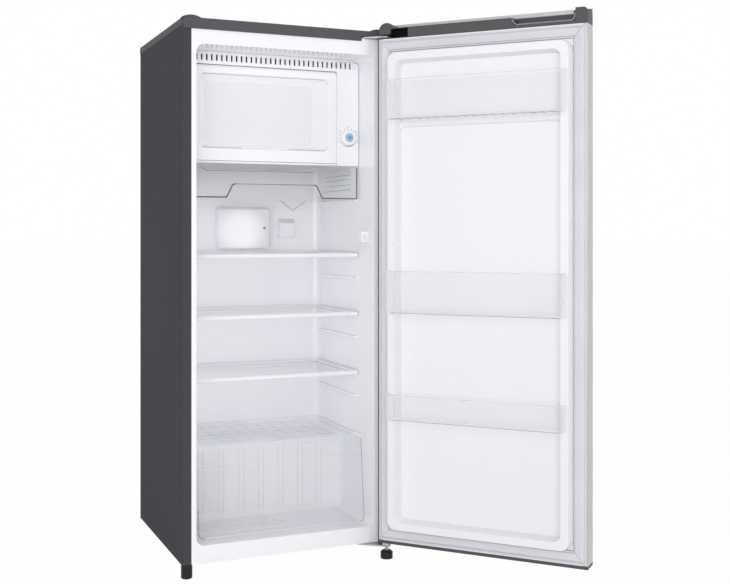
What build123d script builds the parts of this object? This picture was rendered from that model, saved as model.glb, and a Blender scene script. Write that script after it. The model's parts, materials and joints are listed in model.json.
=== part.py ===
from build123d import *
import os
from math import cos, radians, sin

# Single-door refrigerator with a freezer box inside, standing with its door open.
# Millimetres, +Z up. The origin is on the floor, where the door's hinge axis meets it.
# The room side of the cabinet is -Y, and +X is to the right of someone facing it.

# Cabinet
cabinet_width = 530.0
cabinet_depth = 471.0
cabinet_height = 1279.0
floor_clearance = 34.0
shell_sheet = 1.0
shell_bend = 3.0
front_strip = 22.4
hinge_inset = 12.6
hinge_standoff = 30.5

# Liner and insulation
liner_wall = 2.0
side_wall = 34.3
sill_height = 42.0
ceiling_wall = 41.0
room_depth = 389.0
liner_bevel = 15.0
liner_side_corner = 20.0
bay_depth = 204.0
bay_height = 194.0
bay_insulation = 36.0
ledge_width = 8.0
ledge_height = 7.0
ledge_chamfer = 2.5
spare_ledge_drop = 54.0

# Top cover
lid_height = 20.0
lid_wall = 3.0
lid_overhang = 1.0
lid_front_overhang = 4.0
lid_lip = 6.5
lid_corner = 14.0
lid_edge = 3.0
brow_length = 46.0
brow_rise = 5.5
brow_depth = 24.0

# Hinges and feet
door_open_angle = 131.4
pin_radius = 5.0
pin_length = 24.0
bracket_plate = 4.0
bracket_nose = 10.0
bracket_width = 56.0
bracket_length = 46.0
bush_side = 16.0
bush_boss = 22.0
gusset_height = 14.0
screw_radius = 4.0
screw_head = 2.5
screw_taper = 12.0
screw_sides = 12
screw_spread = 25.0
foot_radius = 15.5
foot_height = 20.0
foot_chamfer = 4.0
foot_sides = 20
stud_radius = 4.5
left_foot_inset = 14.0
left_foot_setback = 13.0
left_foot_radius = 13.5
left_stud_rise = 14.0
rear_foot_radius = 16.0
rear_foot_spread = 400.0
rear_foot_setback = 45.0
rear_foot_taper = 6.0

# Door
door_thickness = 52.2
door_gap = 10.3
door_sheet = 1.0
door_bend = 6.0
door_fold = 12.0
door_bottom_gap = 7.7
bottom_cap_height = 8.3
cap_seam_drop = 6.2
cap_height = 26.2
skin_rise = 42.0
cap_front_depth = 8.0
bump_rise = 12.0
free_bump_width = 30.0
hinge_bump_width = 40.0
grip_width = 150.0
grip_wall = 6.0
grip_floor = 9.0
bump_peak = 30.0
hinge_pocket_width = 44.0
insert_setback = 9.0
insert_width = 46.0
insert_depth = 15.0
insert_wall = 2.0
insert_taper = 5.0
dyke_inset = 33.5
dyke_top_inset = 36.0
dyke_bottom_inset = 33.0
dyke_width = 28.0
dyke_height = 32.0
dyke_corner = 26.0
dyke_draft = 8.0
gasket_width = 30.0
gasket_base = 3.0
gasket_bulb = 15.0
gasket_taper = 15.0

# Door bins
bin_reach = 26.0
bin_wall = 2.2
bin_corner = 9.0
bin_edge = 4.0
bin_end_inset = 43.0
upper_bin_height = 100.0
middle_bin_height = 104.0
lower_bin_height = 63.0
upper_bin_lift = 1047.8
middle_bin_lift = 574.0
lower_bin_lift = 312.0
spare_peg_lift = 748.0
peg_height = 8.0
peg_depth = 4.5
peg_width = 13.0
peg_chamfer = 2.5

# Freezer box and controls
front_setback = 96.0
frame_height = 276.0
frame_depth = 24.0
frame_strip = 31.0
frame_side = 9.0
frame_bottom_rail = 5.0
column_width = 63.0
column_depth = 62.0
column_wall = 2.5
vent_count = 35
vent_margin = 10.7
vent_width = 4.2
vent_height = 15.0
flap_thickness = 20.0
flap_proud = 4.0
flap_back_sheet = 4.0
flap_recess = 9.0
flap_recess_taper = 25.0
flap_border = 21.0
flap_bevel = 12.0
flap_edge = 3.0
flap_back_taper = 20.0
flap_pin_radius = 3.5
flap_pin_length = 6.0
grip_lip = 9.0
grip_lip_width = 130.0
evaporator_sheet = 2.0
evaporator_depth = 262.0
evaporator_bevel = 12.0
hanger_side = 14.0

# Thermostat
dial_drop = 203.0
dial_radius = 20.5
dial_thickness = 12.0
dial_draft = 6.0
dial_edge = 2.0
dial_sides = 36
dial_shaft_radius = 5.0
button_radius = 11.0
button_edge = 1.2
button_stroke = 4.0
stem_radius = 2.9
stem_sides = 12
thermostat_width = 46.0
thermostat_height = 60.0
thermostat_depth = 34.0

# Chill tray
tray_gap = 3.0
tray_height = 84.0
tray_side_gap = 5.0
tray_wall = 2.4
tray_back_gap = 12.0
tray_notch_width = 256.0
tray_notch_taper = 16.0
tray_notch_height = 35.0
spout_offset = 143.0
spout_width = 76.0
spout_drop = 28.0
spout_depth = 12.0

# Lamp, switch and wedge cover
lamp_cover_width = 154.0
lamp_cover_height = 118.0
lamp_cover_depth = 30.0
lamp_cover_wall = 2.0
lamp_cover_drop = 16.0
lamp_cover_corner = 8.0
lamp_cover_edge = 4.0
lamp_cover_taper = 8.0
holder_side = 22.0
bulb_neck = 5.5
bulb_neck_length = 11.0
bulb_shoulder = 5.5
bulb_body = 24.0
bulb_sides = 16
wedge_width = 46.0
wedge_height = 54.0
wedge_depth = 14.0
wedge_offset = 131.0
wedge_edge = 4.0
switch_height = 776.0
switch_width = 14.0
switch_length = 34.0
switch_edge = 3.0
plunger_radius = 4.0
plunger_edge = 1.5
plunger_sides = 16
plunger_stroke = 6.0
plunger_guide = 10.0

# Shelves
shelf_count = 3
shelf_gap = 12.0
shelf_height = 11.0
shelf_rail = 12.0
shelf_ledge = 6.0
pane_thickness = 4.0
shelf_corner = 16.0
shelf_side_gap = 3.0
shelf_back_gap = 3.0

# Crisper
cover_height = 266.0
cover_thickness = 5.0
cover_front = 46.0
cover_lip = 9.0
crisper_side_gap = 13.5
crisper_lift = 6.0
crisper_wall = 2.4
crisper_edge = 10.0
crisper_front_top = 50.0
crisper_front_lean = 24.0
crisper_band = 36.0
crisper_back_gap = 8.0
crisper_rib_count = 7
crisper_rib_width = 14.0
crisper_rib_depth = 3.0
runner_inset = 16.0
runner_setback = 24.0

# Compressor bay and condenser
base_sheet = 2.0
base_lip = 16.0
compressor_radius = 76.0
compressor_height = 150.0
compressor_bowl = 40.0
compressor_seam = 2.0
compressor_sides = 24
dome_angle = 60.0
dome_steps = 3
compressor_offset = 40.0
compressor_feet_width = 200.0
compressor_feet_depth = 120.0
compressor_feet_sheet = 4.0
grommet_inset = 16.5
grommet_radius = 11.0
grommet_height = 12.0
grommet_taper = 5.0
grommet_sides = 12
relay_width = 34.0
relay_depth = 52.0
relay_height = 62.0
relay_edge = 5.0
relay_rise = 20.0
terminal_width = 16.0
terminal_depth = 26.0
terminal_height = 31.0
drip_tray_width = 130.0
drip_tray_depth = 96.0
drip_tray_height = 24.0
drip_tray_wall = 2.0
drip_tray_corner = 8.0
drip_tray_taper = 8.0
condenser_width = 420.0
condenser_runs = 13
condenser_pitch = 72.0
condenser_tube_radius = 2.5
bend_steps = 6
tube_sides = 6
wire_sides = 4
pipe_sides = 6
condenser_wire_radius = 0.8
condenser_wire_count = 22
condenser_wire_end = 4.0
condenser_standoff = 22.0
condenser_rise = 30.0
bracket_tab = 18.0
drier_radius = 9.0
drier_length = 90.0
pipe_radius = 3.2
pipe_bend = 18.0
suction_rise = 48.0
discharge_rise = 62.0
bead_count = 4
bead_width = 12.0
bead_height = 2.0

# Slope of bevelled edges
edge_taper = 45.0

# Clearances
slide_clearance = 0.3
fit_clearance = 0.05
swing_clearance = 1.5

# Cabinet faces
x_right = hinge_inset
x_left = x_right - cabinet_width
x_mid = (x_left + x_right) / 2
y_front = hinge_standoff
y_back = y_front + cabinet_depth
y_middle = (y_front + y_back) / 2
z_base = floor_clearance
z_top = z_base + cabinet_height
inner_width = cabinet_width - 2 * shell_sheet
sheet_relief = shell_bend - 2 * shell_sheet

# Food space faces
room_left = x_left + side_wall
room_right = x_right - side_wall
room_width = room_right - room_left
room_floor = z_base + sill_height
room_ceiling = z_top - ceiling_wall
room_back = y_front + room_depth
bay_front = y_back - bay_depth
step_front = bay_front - shell_sheet - bay_insulation - liner_wall
bay_top = z_base + bay_height
step_top = bay_top + shell_sheet + bay_insulation + liner_wall

# Freezer faces
freezer_front = y_front + front_setback
frame_top = room_ceiling - slide_clearance
frame_bottom = frame_top - frame_height
frame_left = room_left + slide_clearance
frame_right = room_right - slide_clearance
column_left = frame_right - column_width
flap_top = frame_top - frame_strip - swing_clearance
flap_bottom = frame_bottom + frame_bottom_rail + slide_clearance
flap_left = frame_left + frame_side + slide_clearance
flap_right = column_left - slide_clearance
flap_front = freezer_front - flap_proud
flap_axis_y = flap_front + flap_thickness / 2
flap_axis_z = flap_top - flap_thickness / 2

# Tray, lamp, shelf and crisper levels
tray_top = frame_bottom - tray_gap
tray_bottom = tray_top - tray_height
lamp_top = tray_bottom - lamp_cover_drop
lamp_bottom = lamp_top - lamp_cover_height
top_shelf_level = lamp_bottom - shelf_gap
cover_level = z_base + cover_height
shelf_pitch = (top_shelf_level - cover_level) / shelf_count
shelf_levels = [top_shelf_level - n * shelf_pitch for n in range(shelf_count)]

# Door faces, with the door shut
door_inner = y_front - door_gap
door_outer = door_inner - door_thickness
door_middle = (door_inner + door_outer) / 2
skin_bottom = z_base + door_bottom_gap + bottom_cap_height
skin_side_top = z_top - cap_seam_drop
skin_top = skin_side_top + skin_rise
cap_top = skin_side_top + cap_height
dyke_top = door_inner + dyke_height
dyke_left = x_left + dyke_inset
dyke_right = x_right - dyke_inset
dyke_low = skin_bottom + dyke_bottom_inset
dyke_high = skin_side_top - dyke_top_inset


def level(z):
    """Plane seen from above, at height z."""
    return Plane.XY.offset(z)


def upright(y):
    """Plane seen from the front, at depth y. A positive extrusion comes forward."""
    return Plane.XZ.offset(-y)


def sideways(x):
    """Plane seen from the side, at position x. A positive extrusion goes right."""
    return Plane.YZ.offset(x)


def slab(low, high, mode=Mode.ADD):
    """Square-edged block between two corners, for the piece being made."""
    with Locations(tuple((a + b) / 2 for a, b in zip(low, high))):
        Box(*(b - a for a, b in zip(low, high)), mode=mode)


def save(piece, node, turn=0.0):
    """Write one finished piece, swung about the hinge axis when it rides on the door."""
    placed = piece.part.rotate(Axis.Z, turn)
    placed.label = node
    export_step(placed, "parts/" + node + ".step")


def save_door(piece, node):
    """Write one piece of the door at the angle at which the door stands open."""
    save(piece, node, door_open_angle)


def room_form(grow):
    """Food space with its step over the compressor bay, grown outwards by a wall."""
    with BuildPart() as form:
        with BuildSketch(sideways(room_left - grow)) as profile:
            with BuildLine():
                Polyline(
                    (y_front, room_ceiling),
                    (room_back, room_ceiling),
                    (room_back, step_top),
                    (step_front, step_top),
                    (step_front, room_floor),
                    (y_front, room_floor),
                    close=True,
                )
            make_face()
            chamfer(profile.vertices().filter_by_position(Axis.X, step_front, room_back), liner_bevel)
            if grow:
                offset(amount=grow, kind=Kind.INTERSECTION)
                with Locations((y_front - grow, (room_floor + room_ceiling) / 2)):
                    Rectangle(2 * grow, 2 * cabinet_height, mode=Mode.SUBTRACT)
        extrude(amount=room_width + 2 * grow)
        for end in (0, -1):
            side = form.faces().sort_by(Axis.X)[end]
            rim = side.edges().filter_by_position(Axis.Y, y_front + shell_sheet, y_back)
            fillet(rim, liner_side_corner + grow)
    return form


os.makedirs("parts", exist_ok=True)

# Side panels with folded front strips, and the roof sheet between them


def side_panel(outer_x, strip_end):
    """Side sheet between its outer face and the edge of its folded front strip."""
    with BuildPart() as panel:
        with BuildSketch(level(z_base)) as wrap:
            with Locations((x_mid, y_middle)):
                Rectangle(cabinet_width, cabinet_depth)
            fillet(wrap.vertices().group_by(Axis.Y)[0], shell_bend)
            offset(amount=-shell_sheet, mode=Mode.SUBTRACT)
            with Locations((x_mid, y_back)):
                Rectangle(inner_width, 2 * shell_sheet, mode=Mode.SUBTRACT)
            with Locations(((outer_x + strip_end) / 2, y_middle)):
                Rectangle(abs(strip_end - outer_x), cabinet_depth, mode=Mode.INTERSECT)
        extrude(amount=cabinet_height)
    return panel


save(side_panel(x_left, x_left + front_strip), "left_side_panel")
save(side_panel(x_right, x_right - front_strip), "right_side_panel")

with BuildPart() as roof_panel:
    slab(
        (x_left + shell_sheet, y_front + liner_wall, z_top - shell_sheet),
        (x_right - shell_sheet, y_back, z_top),
    )
    chamfer(roof_panel.edges().filter_by(Axis.Z).group_by(Axis.Y)[0], sheet_relief)
save(roof_panel, "roof_panel")

# Back panel with pressed beads
with BuildPart() as back_panel:
    with BuildSketch(upright(y_back)):
        with Locations((x_mid, (bay_top + z_top - shell_sheet) / 2)):
            Rectangle(inner_width, z_top - shell_sheet - bay_top)
    extrude(amount=shell_sheet)
    with BuildSketch(upright(y_back)) as beads:
        with Locations((x_mid, (bay_top + z_top) / 2)):
            with GridLocations(0, (z_top - bay_top) / bead_count, 1, bead_count):
                Rectangle(condenser_width, bead_width)
        chamfer(beads.vertices(), bead_width / 3)
    extrude(amount=-bead_height)
save(back_panel, "back_panel")

# Bottom panel, folded up and back round the compressor bay
with BuildPart() as bottom_panel:
    with BuildSketch(sideways(x_left + shell_sheet)):
        with BuildLine():
            Polyline(
                (y_front + liner_wall, z_base),
                (bay_front, z_base),
                (bay_front, bay_top),
                (y_back - shell_sheet, bay_top),
                (y_back - shell_sheet, bay_top + shell_sheet),
                (bay_front - shell_sheet, bay_top + shell_sheet),
                (bay_front - shell_sheet, z_base + shell_sheet),
                (y_front + liner_wall, z_base + shell_sheet),
                close=True,
            )
        make_face()
    extrude(amount=inner_width)
    chamfer(bottom_panel.edges().filter_by(Axis.Z).group_by(Axis.Y)[0], sheet_relief)
    with Locations((x_left + left_foot_inset, y_front + left_foot_setback, z_base)):
        Hole(stud_radius + fit_clearance)
save(bottom_panel, "bottom_panel")

room_outside = room_form(liner_wall)
room_inside = room_form(0)

# Insulation between shell and liner
with BuildPart() as cabinet_insulation:
    with BuildSketch(sideways(x_left + shell_sheet)):
        with BuildLine():
            Polyline(
                (y_front + liner_wall, z_base + shell_sheet),
                (bay_front - shell_sheet, z_base + shell_sheet),
                (bay_front - shell_sheet, bay_top + shell_sheet),
                (y_back - shell_sheet, bay_top + shell_sheet),
                (y_back - shell_sheet, z_top - shell_sheet),
                (y_front + liner_wall, z_top - shell_sheet),
                close=True,
            )
        make_face()
    extrude(amount=inner_width)
    chamfer(cabinet_insulation.edges().filter_by(Axis.Z).group_by(Axis.Y)[0], sheet_relief)
    add(room_outside.part, mode=Mode.SUBTRACT)
    with BuildSketch(level(z_base + shell_sheet)):
        with Locations((x_left + left_foot_inset, y_front + left_foot_setback)):
            Circle(stud_radius + swing_clearance)
    extrude(amount=left_stud_rise, mode=Mode.SUBTRACT)
save(cabinet_insulation, "cabinet_insulation")

# Inner liner: front flange, food space and the ledges that carry shelves and tray
ledge_front = freezer_front + shelf_rail
ledge_length = room_back - liner_side_corner - ledge_front
shelf_seats = [z - shelf_height / 2 - slide_clearance for z in shelf_levels]
spare_seats = [z - spare_ledge_drop for z in shelf_seats]
cover_seat = cover_level - cover_thickness - slide_clearance
tray_seat = tray_bottom - slide_clearance
ledge_seats = shelf_seats + spare_seats + [cover_seat, tray_seat]
with BuildPart() as inner_liner:
    with BuildSketch(upright(y_front)):
        with Locations((x_mid, (z_base + z_top) / 2)):
            Rectangle(cabinet_width - 2 * front_strip, cabinet_height)
    extrude(amount=-liner_wall)
    add(room_outside.part)
    add(room_inside.part, mode=Mode.SUBTRACT)
    for seat in ledge_seats:
        for wall, inward in ((room_left, 1), (room_right, -1)):
            with BuildSketch(sideways(wall - inward * liner_wall / 2)) as ledge:
                with Locations((ledge_front + ledge_length / 2, seat - ledge_height / 2)):
                    Rectangle(ledge_length, ledge_height)
                chamfer(ledge.vertices().group_by(Axis.Y)[0], ledge_chamfer)
            extrude(amount=inward * (ledge_width + liner_wall / 2))
save(inner_liner, "inner_liner")

# Top cover: hollow moulding with a front lip and raised front corners
lid_front = y_front - lid_front_overhang
lid_width = cabinet_width + 2 * lid_overhang
lid_top = z_top + lid_height
with BuildPart() as top_cover:
    with BuildSketch(level(z_top - lid_lip)) as lid_plan:
        with Locations((x_mid, (lid_front + y_back) / 2)):
            Rectangle(lid_width, y_back - lid_front)
        fillet(lid_plan.vertices().group_by(Axis.Y)[0], lid_corner)
    extrude(amount=lid_height + lid_lip)
    chamfer(top_cover.faces().sort_by(Axis.Y)[0].edges().sort_by(Axis.Z)[-1], lid_edge)
    for side in (0, 1):
        brow_start = x_left + side * cabinet_width
        brow_end = brow_start + (1 - 2 * side) * brow_length
        brow_peak = brow_start + (1 - 2 * side) * brow_length / 3
        with BuildSketch(upright(lid_front + lid_edge)):
            with BuildLine():
                ThreePointArc(
                    (brow_start, lid_top),
                    (brow_peak, lid_top + brow_rise),
                    (brow_end, lid_top),
                )
                Line((brow_end, lid_top), (brow_start, lid_top))
            make_face()
        extrude(amount=-brow_depth)
    slab(
        (x_left + lid_wall, y_front + lid_wall, z_top),
        (x_right - lid_wall, y_back - lid_wall, lid_top - lid_wall),
        mode=Mode.SUBTRACT,
    )
    slab(
        (x_left - side_wall, y_front - slide_clearance, z_top - lid_lip),
        (x_right + side_wall, y_back + lid_wall, z_top),
        mode=Mode.SUBTRACT,
    )
    slab(
        (-bracket_width - swing_clearance, lid_front - lid_wall, z_top - lid_lip),
        (bracket_nose + swing_clearance, y_front + lid_wall, z_top + bracket_plate + swing_clearance),
        mode=Mode.SUBTRACT,
    )
save(top_cover, "top_cover")

# Hinge brackets: a plate that narrows to the pin, screwed to the cabinet
bracket_middle = y_front + liner_wall + bracket_length / 2


def bracket_plan(z):
    """Outline of a hinge plate, from the wide end on the cabinet to the nose round the pin."""
    with BuildSketch(level(z)) as plan:
        Circle(bracket_nose)
        with Locations((-bracket_width / 2, bracket_middle)):
            Rectangle(bracket_width, bracket_length)
        make_hull()
    return plan.sketch


with BuildPart() as top_hinge_bracket:
    extrude(bracket_plan(z_top), amount=bracket_plate)
    with BuildSketch(level(z_top)):
        Circle(pin_radius)
    extrude(amount=-pin_length)
save(top_hinge_bracket, "top_hinge_bracket")

with BuildPart() as bottom_hinge_bracket:
    extrude(bracket_plan(z_base), amount=-bracket_plate)
    with BuildSketch(level(z_base)):
        Circle(pin_radius)
    extrude(amount=pin_length + door_bottom_gap)
    for edge_x in (-bracket_width, -bracket_plate):
        with BuildSketch(sideways(edge_x)):
            with BuildLine():
                Polyline(
                    (y_front + liner_wall, z_base - bracket_plate),
                    (y_front + liner_wall + bracket_length, z_base - bracket_plate),
                    (y_front + liner_wall + bracket_length, z_base - gusset_height),
                    close=True,
                )
            make_face()
        extrude(amount=bracket_plate)
    with BuildSketch(level(z_base - bracket_plate)):
        Circle(stud_radius + fit_clearance)
    extrude(amount=bracket_plate - shell_sheet, mode=Mode.SUBTRACT)
save(bottom_hinge_bracket, "bottom_hinge_bracket")

with BuildPart() as hinge_screws:
    for face, outward in ((z_top + bracket_plate, screw_head), (z_base - bracket_plate, -screw_head)):
        with BuildSketch(level(face)):
            with Locations((-bracket_width / 2, bracket_middle)):
                with GridLocations(screw_spread, 0, 2, 1):
                    RegularPolygon(screw_radius, screw_sides)
        extrude(amount=outward, taper=screw_taper)
save(hinge_screws, "hinge_screws")

# Levelling feet: a pad on a threaded stud, turned by hand
with BuildPart() as right_foot:
    with BuildSketch(level(0)):
        RegularPolygon(foot_radius, foot_sides)
    extrude(amount=foot_height)
    chamfer(right_foot.faces().sort_by(Axis.Z)[-1].edges(), foot_chamfer)
save(right_foot, "right_foot")

with BuildPart() as right_foot_stud:
    with BuildSketch(level(foot_height)):
        Circle(stud_radius)
    extrude(amount=z_base - shell_sheet - slide_clearance - foot_height)
save(right_foot_stud, "right_foot_stud")

left_foot_spot = (x_left + left_foot_inset, y_front + left_foot_setback)
left_foot_top = z_base - slide_clearance
with BuildPart() as left_foot:
    with BuildSketch(level(0)):
        with Locations(left_foot_spot):
            RegularPolygon(left_foot_radius, foot_sides)
    extrude(amount=left_foot_top)
    chamfer(left_foot.faces().sort_by(Axis.Z)[0].edges(), foot_chamfer / 2)
    with BuildSketch(level(left_foot_top)):
        with Locations(left_foot_spot):
            Circle(stud_radius)
    extrude(amount=left_stud_rise - swing_clearance)
save(left_foot, "left_foot")

with BuildPart() as rear_feet:
    with BuildSketch(level(0)):
        with Locations((x_mid, y_back - rear_foot_setback)):
            with GridLocations(rear_foot_spread, 0, 2, 1):
                RegularPolygon(rear_foot_radius, foot_sides)
    extrude(amount=z_base, taper=rear_foot_taper)
save(rear_feet, "rear_feet")

# Freezer front frame: vent strip, control column and the seat of the flap
vent_middle = (frame_left + frame_right) / 2
vent_level = frame_top - frame_strip / 2
vent_run = frame_right - frame_left - 2 * vent_margin - vent_width
vent_pitch = vent_run / (vent_count - 1)
pin_run = flap_pin_length + slide_clearance
dial_x = (column_left + frame_right) / 2
dial_z = frame_top - dial_drop
frame_back = freezer_front + frame_depth
with BuildPart() as freezer_front_frame:
    with BuildSketch(upright(freezer_front)) as frame_face:
        with Locations(((frame_left + frame_right) / 2, (frame_bottom + frame_top) / 2)):
            Rectangle(frame_right - frame_left, frame_height)
        fillet(frame_face.vertices().sort_by(Axis.Y)[-2:], liner_side_corner)
        with Locations(((flap_left + flap_right) / 2, (flap_bottom + flap_top) / 2)):
            Rectangle(
                flap_right - flap_left + 2 * slide_clearance,
                flap_top - flap_bottom + slide_clearance + swing_clearance,
                mode=Mode.SUBTRACT,
            )
    extrude(amount=-frame_depth)
    slab(
        (column_left, frame_back, frame_bottom),
        (frame_right, freezer_front + column_depth, frame_top - frame_strip),
    )
    slab(
        (column_left + column_wall, freezer_front + column_wall, frame_bottom + column_wall),
        (frame_right - column_wall, freezer_front + column_depth, frame_top - frame_strip - column_wall),
        mode=Mode.SUBTRACT,
    )
    slab(
        (frame_left + frame_side, freezer_front + column_wall, frame_top - frame_strip + column_wall),
        (frame_right - liner_side_corner, frame_back, frame_top - column_wall),
        mode=Mode.SUBTRACT,
    )
    with BuildSketch(upright(freezer_front)):
        with Locations((vent_middle, vent_level)):
            with GridLocations(vent_pitch, 0, vent_count, 1):
                Rectangle(vent_width, vent_height)
    extrude(amount=-column_wall, mode=Mode.SUBTRACT)
    with BuildSketch(upright(freezer_front)):
        with Locations((dial_x, dial_z)):
            Circle(dial_shaft_radius + slide_clearance)
    extrude(amount=-column_wall, mode=Mode.SUBTRACT)
    with BuildSketch(sideways(flap_left - pin_run)):
        with Locations((flap_axis_y, flap_axis_z)):
            Circle(flap_pin_radius + fit_clearance)
    extrude(amount=flap_right - flap_left + 2 * pin_run, mode=Mode.SUBTRACT)
save(freezer_front_frame, "freezer_front_frame")

# Evaporator: roll-bonded aluminium box, open at the front, and the posts it hangs from
box_left = flap_left + slide_clearance
box_right = column_left - slide_clearance
box_top = flap_top
box_bottom = frame_bottom
box_back = frame_back + evaporator_depth - frame_depth
with BuildPart() as evaporator:
    with BuildSketch(upright(frame_back)) as mouth:
        with Locations(((box_left + box_right) / 2, (box_bottom + box_top) / 2)):
            Rectangle(box_right - box_left, box_top - box_bottom)
        chamfer(mouth.vertices(), evaporator_bevel)
    extrude(amount=-(box_back - frame_back))
    offset(amount=-evaporator_sheet, openings=evaporator.faces().sort_by(Axis.Y)[0])
save(evaporator, "evaporator")

with BuildPart() as evaporator_hangers:
    with BuildSketch(level(box_top)):
        with Locations(((box_left + box_right) / 2, (frame_back + box_back) / 2)):
            with GridLocations((box_right - box_left) / 2, (box_back - frame_back) / 2, 2, 2):
                Rectangle(hanger_side, hanger_side)
    extrude(amount=room_ceiling - box_top)
save(evaporator_hangers, "evaporator_hangers")

# Freezer flap: moulded front with a recessed panel and a lower grip, on two end pins
flap_width = flap_right - flap_left
flap_middle = (flap_left + flap_right) / 2
flap_core_back = flap_front + flap_thickness - flap_back_sheet
with BuildPart() as freezer_flap:
    with BuildSketch(sideways(flap_left)):
        with BuildLine():
            Line((flap_front, flap_axis_z), (flap_front, flap_bottom))
            Line((flap_front, flap_bottom), (flap_core_back, flap_bottom))
            Line((flap_core_back, flap_bottom), (flap_core_back, flap_axis_z))
            Line((flap_core_back, flap_axis_z), (flap_front + flap_thickness, flap_axis_z))
            ThreePointArc(
                (flap_front + flap_thickness, flap_axis_z),
                (flap_axis_y, flap_top),
                (flap_front, flap_axis_z),
            )
        make_face()
    extrude(amount=flap_width)
    with BuildSketch(upright(flap_front)) as dish:
        with Locations((flap_middle, (flap_bottom + flap_top + grip_lip) / 2)):
            Rectangle(
                flap_width - 2 * flap_border,
                flap_top - flap_bottom - 2 * flap_border - grip_lip,
            )
        chamfer(dish.vertices(), flap_bevel)
    extrude(amount=-flap_recess, taper=flap_recess_taper, mode=Mode.SUBTRACT)
    chamfer(freezer_flap.faces().sort_by(Axis.Y)[0].outer_wire().edges().filter_by(Axis.Z), flap_edge)
    with BuildSketch(upright(flap_front + flap_recess)):
        with Locations((flap_middle, flap_bottom + flap_border + 3 * grip_lip / 2)):
            Rectangle(grip_lip_width, grip_lip)
    extrude(amount=flap_recess, taper=flap_back_taper)
    with BuildSketch(sideways(flap_left - flap_pin_length)):
        with Locations((flap_axis_y, flap_axis_z)):
            Circle(flap_pin_radius)
    extrude(amount=flap_width + 2 * flap_pin_length)
save(freezer_flap, "freezer_flap")

with BuildPart() as freezer_flap_back:
    with BuildSketch(upright(flap_core_back)):
        with Locations((flap_middle, (flap_bottom + flap_axis_z) / 2)):
            Rectangle(flap_width - 2 * flap_back_sheet, flap_axis_z - flap_bottom - flap_back_sheet)
    extrude(amount=-flap_back_sheet, taper=flap_back_taper)
save(freezer_flap_back, "freezer_flap_back")

# Thermostat, its dial and the defrost button in the dial's middle
dial_back = freezer_front - slide_clearance
dial_front = dial_back - dial_thickness
switch_face = freezer_front + column_wall
shaft_length = switch_face - dial_back + dial_thickness / 2
with BuildPart() as thermostat_body:
    slab(
        (dial_x - thermostat_width / 2, switch_face, dial_z - thermostat_height / 2),
        (dial_x + thermostat_width / 2, switch_face + thermostat_depth, dial_z + thermostat_height / 2),
    )
    with BuildSketch(upright(switch_face)):
        with Locations((dial_x, dial_z)):
            Circle(dial_shaft_radius)
    extrude(amount=shaft_length)
    with BuildSketch(upright(switch_face - shaft_length)):
        with Locations((dial_x, dial_z)):
            Circle(stem_radius + fit_clearance)
    extrude(amount=-(shaft_length + thermostat_depth / 2), mode=Mode.SUBTRACT)
save(thermostat_body, "thermostat_body")

with BuildPart() as thermostat_knob:
    with BuildSketch(upright(dial_back)):
        with Locations((dial_x, dial_z)):
            RegularPolygon(dial_radius, dial_sides)
    extrude(amount=dial_thickness - dial_edge, taper=dial_draft)
    extrude(thermostat_knob.faces().sort_by(Axis.Y)[0], amount=dial_edge, taper=edge_taper)
    with BuildSketch(upright(dial_front)):
        with Locations((dial_x, dial_z)):
            RegularPolygon(button_radius + slide_clearance, dial_sides)
    extrude(amount=-dial_thickness / 2, mode=Mode.SUBTRACT)
    with BuildSketch(upright(dial_front)):
        with Locations((dial_x, dial_z)):
            Circle(dial_shaft_radius + fit_clearance)
    extrude(amount=-dial_thickness, mode=Mode.SUBTRACT)
save(thermostat_knob, "thermostat_knob")

button_back = dial_back - dial_thickness / 2 - slide_clearance - button_stroke
button_front = dial_front - button_stroke / 2
with BuildPart() as defrost_button:
    with BuildSketch(upright(button_back)):
        with Locations((dial_x, dial_z)):
            RegularPolygon(button_radius, dial_sides)
    extrude(amount=button_back - button_front - button_edge)
    extrude(defrost_button.faces().sort_by(Axis.Y)[0], amount=button_edge, taper=edge_taper)
    with BuildSketch(upright(button_back)):
        with Locations((dial_x, dial_z)):
            RegularPolygon(stem_radius, stem_sides)
    extrude(amount=-(switch_face - button_back + thermostat_depth / 2 - 2 * button_stroke))
save(defrost_button, "defrost_button")

# Chill tray: clear basin with a notched front and a drain spout at the back
tray_left = room_left + tray_side_gap
tray_right = room_right - tray_side_gap
tray_back = room_back - tray_back_gap
spout_x = x_mid + spout_offset


def notch_plan(y, inset):
    """Raised notch in the tray's front, on the plane at depth y, drawn in by a wall."""
    low = tray_notch_width / 2 - inset
    high = low - tray_notch_taper
    crest = tray_bottom + tray_notch_height - inset
    with BuildSketch(upright(y)) as plan:
        with BuildLine():
            Polyline(
                (x_mid - low, tray_bottom),
                (x_mid - high, crest),
                (x_mid + high, crest),
                (x_mid + low, tray_bottom),
                close=True,
            )
        make_face()
    return plan.sketch


with BuildPart() as chill_tray:
    with BuildSketch(level(tray_bottom)) as tray_plan:
        with Locations(((tray_left + tray_right) / 2, (freezer_front + tray_back) / 2)):
            Rectangle(tray_right - tray_left, tray_back - freezer_front)
        fillet(tray_plan.vertices().group_by(Axis.Y)[-1], liner_side_corner)
    extrude(amount=tray_height)
    offset(amount=-tray_wall, openings=chill_tray.faces().sort_by(Axis.Z)[-1])
    notch_depth = tray_notch_height - tray_wall
    extrude(notch_plan(freezer_front + tray_wall, 0), amount=-notch_depth)
    extrude(notch_plan(freezer_front, tray_wall), amount=-notch_depth, mode=Mode.SUBTRACT)
    with BuildSketch(upright(tray_back - tray_wall)):
        with BuildLine():
            Polyline(
                (spout_x - spout_width / 2, tray_bottom),
                (spout_x, tray_bottom - spout_drop),
                (spout_x + spout_width / 2, tray_bottom),
                (spout_x + spout_width / 2 - 2 * tray_wall, tray_bottom),
                (spout_x, tray_bottom - spout_drop + 2 * tray_wall),
                (spout_x - spout_width / 2 + 2 * tray_wall, tray_bottom),
                close=True,
            )
        make_face()
    extrude(amount=spout_depth)
save(chill_tray, "chill_tray")

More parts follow.
